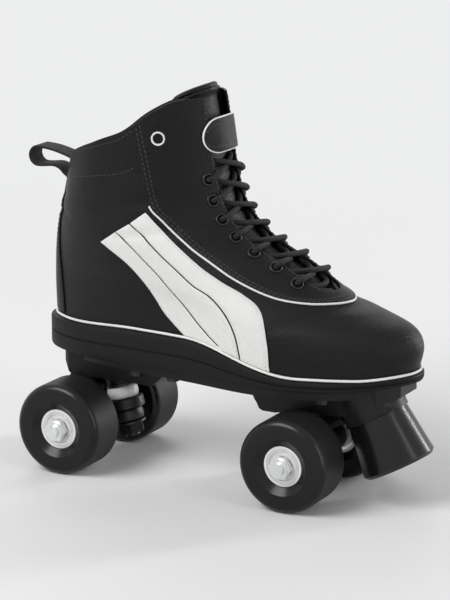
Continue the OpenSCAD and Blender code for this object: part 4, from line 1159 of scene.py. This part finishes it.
tongue = laid("tongue_pad", 30, 90, lambda a, b: on_boot(*tongue_chart(1 - 2*a, b, 0.9)))
shape(tongue, "SOLIDIFY", thickness=3.2*MM, offset=-1)
puffed(tongue, 1.6, lambda p: p[:, 2] < p[:, 2].min() + 0.012, 1.0)
dress(tongue, black_leather, BOOT, "tongue_leather", "tongue", sharp=80)
around = np.concatenate([np.stack([np.full(90, -1.0), np.linspace(0, 1, 90)], -1),
                         np.stack([np.linspace(-1, 1, 60), np.full(60, 1.0)], -1)[1:-1],
                         np.stack([np.full(90, 1.0), np.linspace(1, 0, 90)], -1)])
edge = on_boot(*tongue_chart(around[:, 0], around[:, 1], 2.4))
tongue_cord = tube("tongue_binding", evenly(smoothed(edge, 2), 0.0018), 1.9*MM, 10)
dress(tongue_cord, facing_leather, BOOT, "tongue_leather", sharp=80)

# %% Collar pad
def pad_chart(around, along):
    """around its section, along from one side of the throat to the other behind the ankle."""
    q = mix(122, -122, along)
    turn = around*2*np.pi
    fat = np.sqrt(np.clip(np.sin(np.pi*along)*3.0, 0.0, 1))
    v = 0.838 + 0.075*np.sin(turn)*(0.55 + 0.45*fat)
    return q, collar_wave(q, v), -2.6 - 3.2*fat*(1 - np.cos(turn))


collar = laid("collar_pad", 28, 150, lambda a, b: on_boot(*pad_chart(a, b)))
weld(collar)
shape(collar, "SMOOTH", factor=0.3, iterations=1)
bpy.ops.object.mode_set(mode="EDIT")
bpy.ops.mesh.select_all(action="DESELECT")
bpy.ops.mesh.select_non_manifold()
bpy.ops.mesh.fill_holes(sides=60)
bpy.ops.object.mode_set(mode="OBJECT")
weld(collar)
puffed(collar, 1.8, lambda p: p[:, 0] > p[:, 0].max() - 0.008, 0.9)
dress(collar, lining_knit, BOOT, "lining_fabric", "boot_lining", sharp=80)

# %% [markdown]
# ## Footbed, sole and welt cord
# The sole is a ring of outline points lifted through a section: flat below, a rounded lower
# edge, a side wall with a shallow groove, a rounded top edge and a flat top that runs in
# under the upper to the middle line. The outline is the boot's own at the welt, grown a little.

# %% Sole
def outline(q, off, back=0.0):
    """Point in plan, off millimetres outside the upper at the welt, and back more at the heel."""
    spot, run = skin(q, 0*q), skin(q + 1, 0*q) - skin(q - 1, 0*q)
    away = np.stack([-run[..., 1], run[..., 0]], -1)
    away /= np.linalg.norm(away, axis=-1, keepdims=True)
    return spot[..., :2] + (off + back*ease(-0.2, 0.8, np.cos(np.radians(q))))[..., None]*away


# each section point: offset from the rim's edge in millimetres, share of the height,
# lift in millimetres, share of the width kept
SECTION = [(0, 0, 0, 0.0), (-6, 0, 0, 0.5), (-5, 0, 0, 1), (-1.6, 0, 0, 1), (-0.5, 0, 0.45, 1),
           (0, 0, 1.6, 1), (0, 0.3, 0, 1), (0, 0.52, -0.7, 1), (-0.75, 0.52, -0.35, 1),
           (-0.75, 0.52, 0.35, 1), (0, 0.52, 0.7, 1), (0, 0.8, 0, 1), (0, 1, -1.5, 1),
           (-0.45, 1, -0.45, 1), (-1.5, 1, 0, 1), (-6, 1, 0, 1), (-7, 1, 0, 0.5), (0, 1, 0, 0.0)]
RIM, HEEL_RIM = 3.0, 2.0


def sole_place(across, along):
    q = across*360 - 180
    section = np.array(SECTION)[np.rint(along*(len(SECTION) - 1)).astype(int)]
    plan = outline(q, RIM + section[:, 0], HEEL_RIM)
    middle = swing(share_at(q))
    x, y = plan[:, 0], mix(middle, plan[:, 1], section[:, 3])
    low, high = under(x), welt(x) - 0.3
    return np.stack([x, y, SOLE_UNDERSIDE + mix(low, high, section[:, 1]) + section[:, 2]], -1)*MM


sole = laid("sole_rubber", 240, len(SECTION) - 1, sole_place)
weld(sole, 0.0002)
dress(sole, sole_rubber, BOOT, "sole_rubber", "outsole", sharp=35)

# %% Welt cord
around = np.linspace(-180, 180, 721)[:-1]
plan = outline(around, np.full_like(around, 1.15))
route = np.stack([plan[:, 0], plan[:, 1], SOLE_UNDERSIDE + welt(plan[:, 0]) + 0.85], -1)*MM
welt_cord = tube("welt_cord", evenly(route, 0.0018, closed=True), 0.85*MM, 12, closed=True)
dress(welt_cord, white_cord, BOOT, "white_piping", "welt_piping")

# %% Footbed
def footbed_place(across, along):
    side, s = 2*across - 1, (1 - np.cos(np.pi*along))/2
    x = mix(HEEL_X + 8.2, TOE_X - 11.2, s)
    share = (x - HEEL_X)/(TOE_X - HEEL_X)
    half = girth(share, 0.0)*np.sqrt(np.maximum(0.01, 1 - np.abs(1 - 2*share)**2.9)) - 8.2
    cup = 2.2*np.abs(side)**3*(1 - ease(-40, 40, x))
    return np.stack([x, np.maximum(2, half)*side + swing(share),
                     SOLE_UNDERSIDE + welt(x) + 4.3 + cup], -1)*MM


footbed = laid("footbed", 24, 70, lambda a, b: footbed_place(1 - a, b))
weld(footbed)
thicken(footbed, 4, 1.0, offset=1, segments=2)
weld(footbed)
dress(footbed, lining_knit, BOOT, "insole_fabric", "insole")

# %% [markdown]
# ## Cushions
# Each truck leans on two urethane cushions on its kingpin, a white one above the hanger's ring
# and a black one below it. Each is a rounded section spun round the kingpin and set in place;
# it is tied to no body.

# %% Cushions
# in metres: where the axles lie, and the ring's middle seen from its axle
AXLE_X, AXLE_Z = {"rear": -0.092, "front": 0.065}, 0.029
RING_AHEAD, RING_UP, KINGPIN_LEAN = 0.019, 0.007, math.radians(-15)
# in millimetres: the section's middle from the kingpin, its half width and half height, its level
CUSHION_MID, CUSHION_HALF, CUSHION_RISE, CUSHION_LEVEL = 7.45, 2.55, 4.15, 7.5


def kingpin_frame(end):
    """The frame in the ring's middle, z up the kingpin."""
    axle = Matrix.Translation((AXLE_X[end], 0, AXLE_Z))
    turn = Matrix.Rotation(math.pi if end == "front" else 0, 4, "Z")
    ring = Matrix.Translation((RING_AHEAD, 0, RING_UP))
    return axle @ turn @ ring @ Matrix.Rotation(KINGPIN_LEAN, 4, "Y")


def cushion(name, frame_of, side):
    """A rubber ring: a circle shaped to a barrel's section and spun."""
    choose()
    bpy.ops.mesh.primitive_circle_add(vertices=28, radius=1)
    ring = bpy.context.object
    ring.name = ring.data.name = name
    for corner in ring.data.vertices:
        x, y = corner.co.x, corner.co.y
        square = max(abs(x), abs(y))
        x, y = mix(x, x/square, 0.55), mix(y, y/square, 0.7)
        inward = 0.55*max(0, x)*y*y
        corner.co = ((CUSHION_MID + CUSHION_HALF*x - inward)*MM, 0, CUSHION_RISE*y*MM)
    bpy.ops.object.mode_set(mode="EDIT")
    bpy.ops.mesh.select_all(action="SELECT")
    bpy.ops.mesh.spin(steps=48, angle=2*math.pi, center=(0, 0, 0), axis=(0, 0, 1))
    bpy.ops.object.mode_set(mode="OBJECT")
    ring.data.transform(frame_of @ Matrix.Translation((0, 0, side*CUSHION_LEVEL*MM)))
    weld(ring)
    return ring


for end in ("rear", "front"):
    at = kingpin_frame(end)
    for side, where in ((1, "upper"), (-1, "lower")):
        ring = cushion(f"{end}_{where}_rubber", at, side)
        dress(ring, white_cushion if side > 0 else black_cushion, None, "cushion_urethane",
              f"{end}_{where}_cushion", sharp=60)
        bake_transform(ring)

# %% [markdown]
# ## Hard parts
# Plate, trucks, bolts, wheels and bearings keep their solids, whose shapes are right. Each gets
# the finish of its stuff, looked up by the end of its name.

# %% Finishes of the solids
HARD = {"plate": plate_nylon, "plate_bolts": black_steel, "toe_stop": stop_rubber,
        "toe_stop_bolt": black_steel, "kingpin": black_steel, "kingpin_nut": black_steel,
        "cushion_washers": black_steel, "pivot_cup": black_cushion, "hanger": hanger_paint,
        "axle": zinc_steel, "axle_nuts": zinc_steel, "axle_spacers": zinc_steel, "inner_rings": bearing_steel,
        "tyre": tyre_urethane, "hub": hub_nylon, "bearings": bearing_steel, "shields": shield_nylon}
for name, solid in solids.items():
    short = name.removeprefix("rear_").removeprefix("front_").removeprefix("outer_")
    short = short if short in HARD else short.removeprefix("inner_")
    if short in HARD:
        solid.data.materials.clear()
        solid.data.materials.append(HARD[short])
print(sum(o.data.materials[0] in HARD.values() for o in solids.values()), "solids have their finish")

# %% [markdown]
# ## Last step
# Nothing is left selected.

# %% Clear the selection
bpy.ops.object.select_all(action="DESELECT")
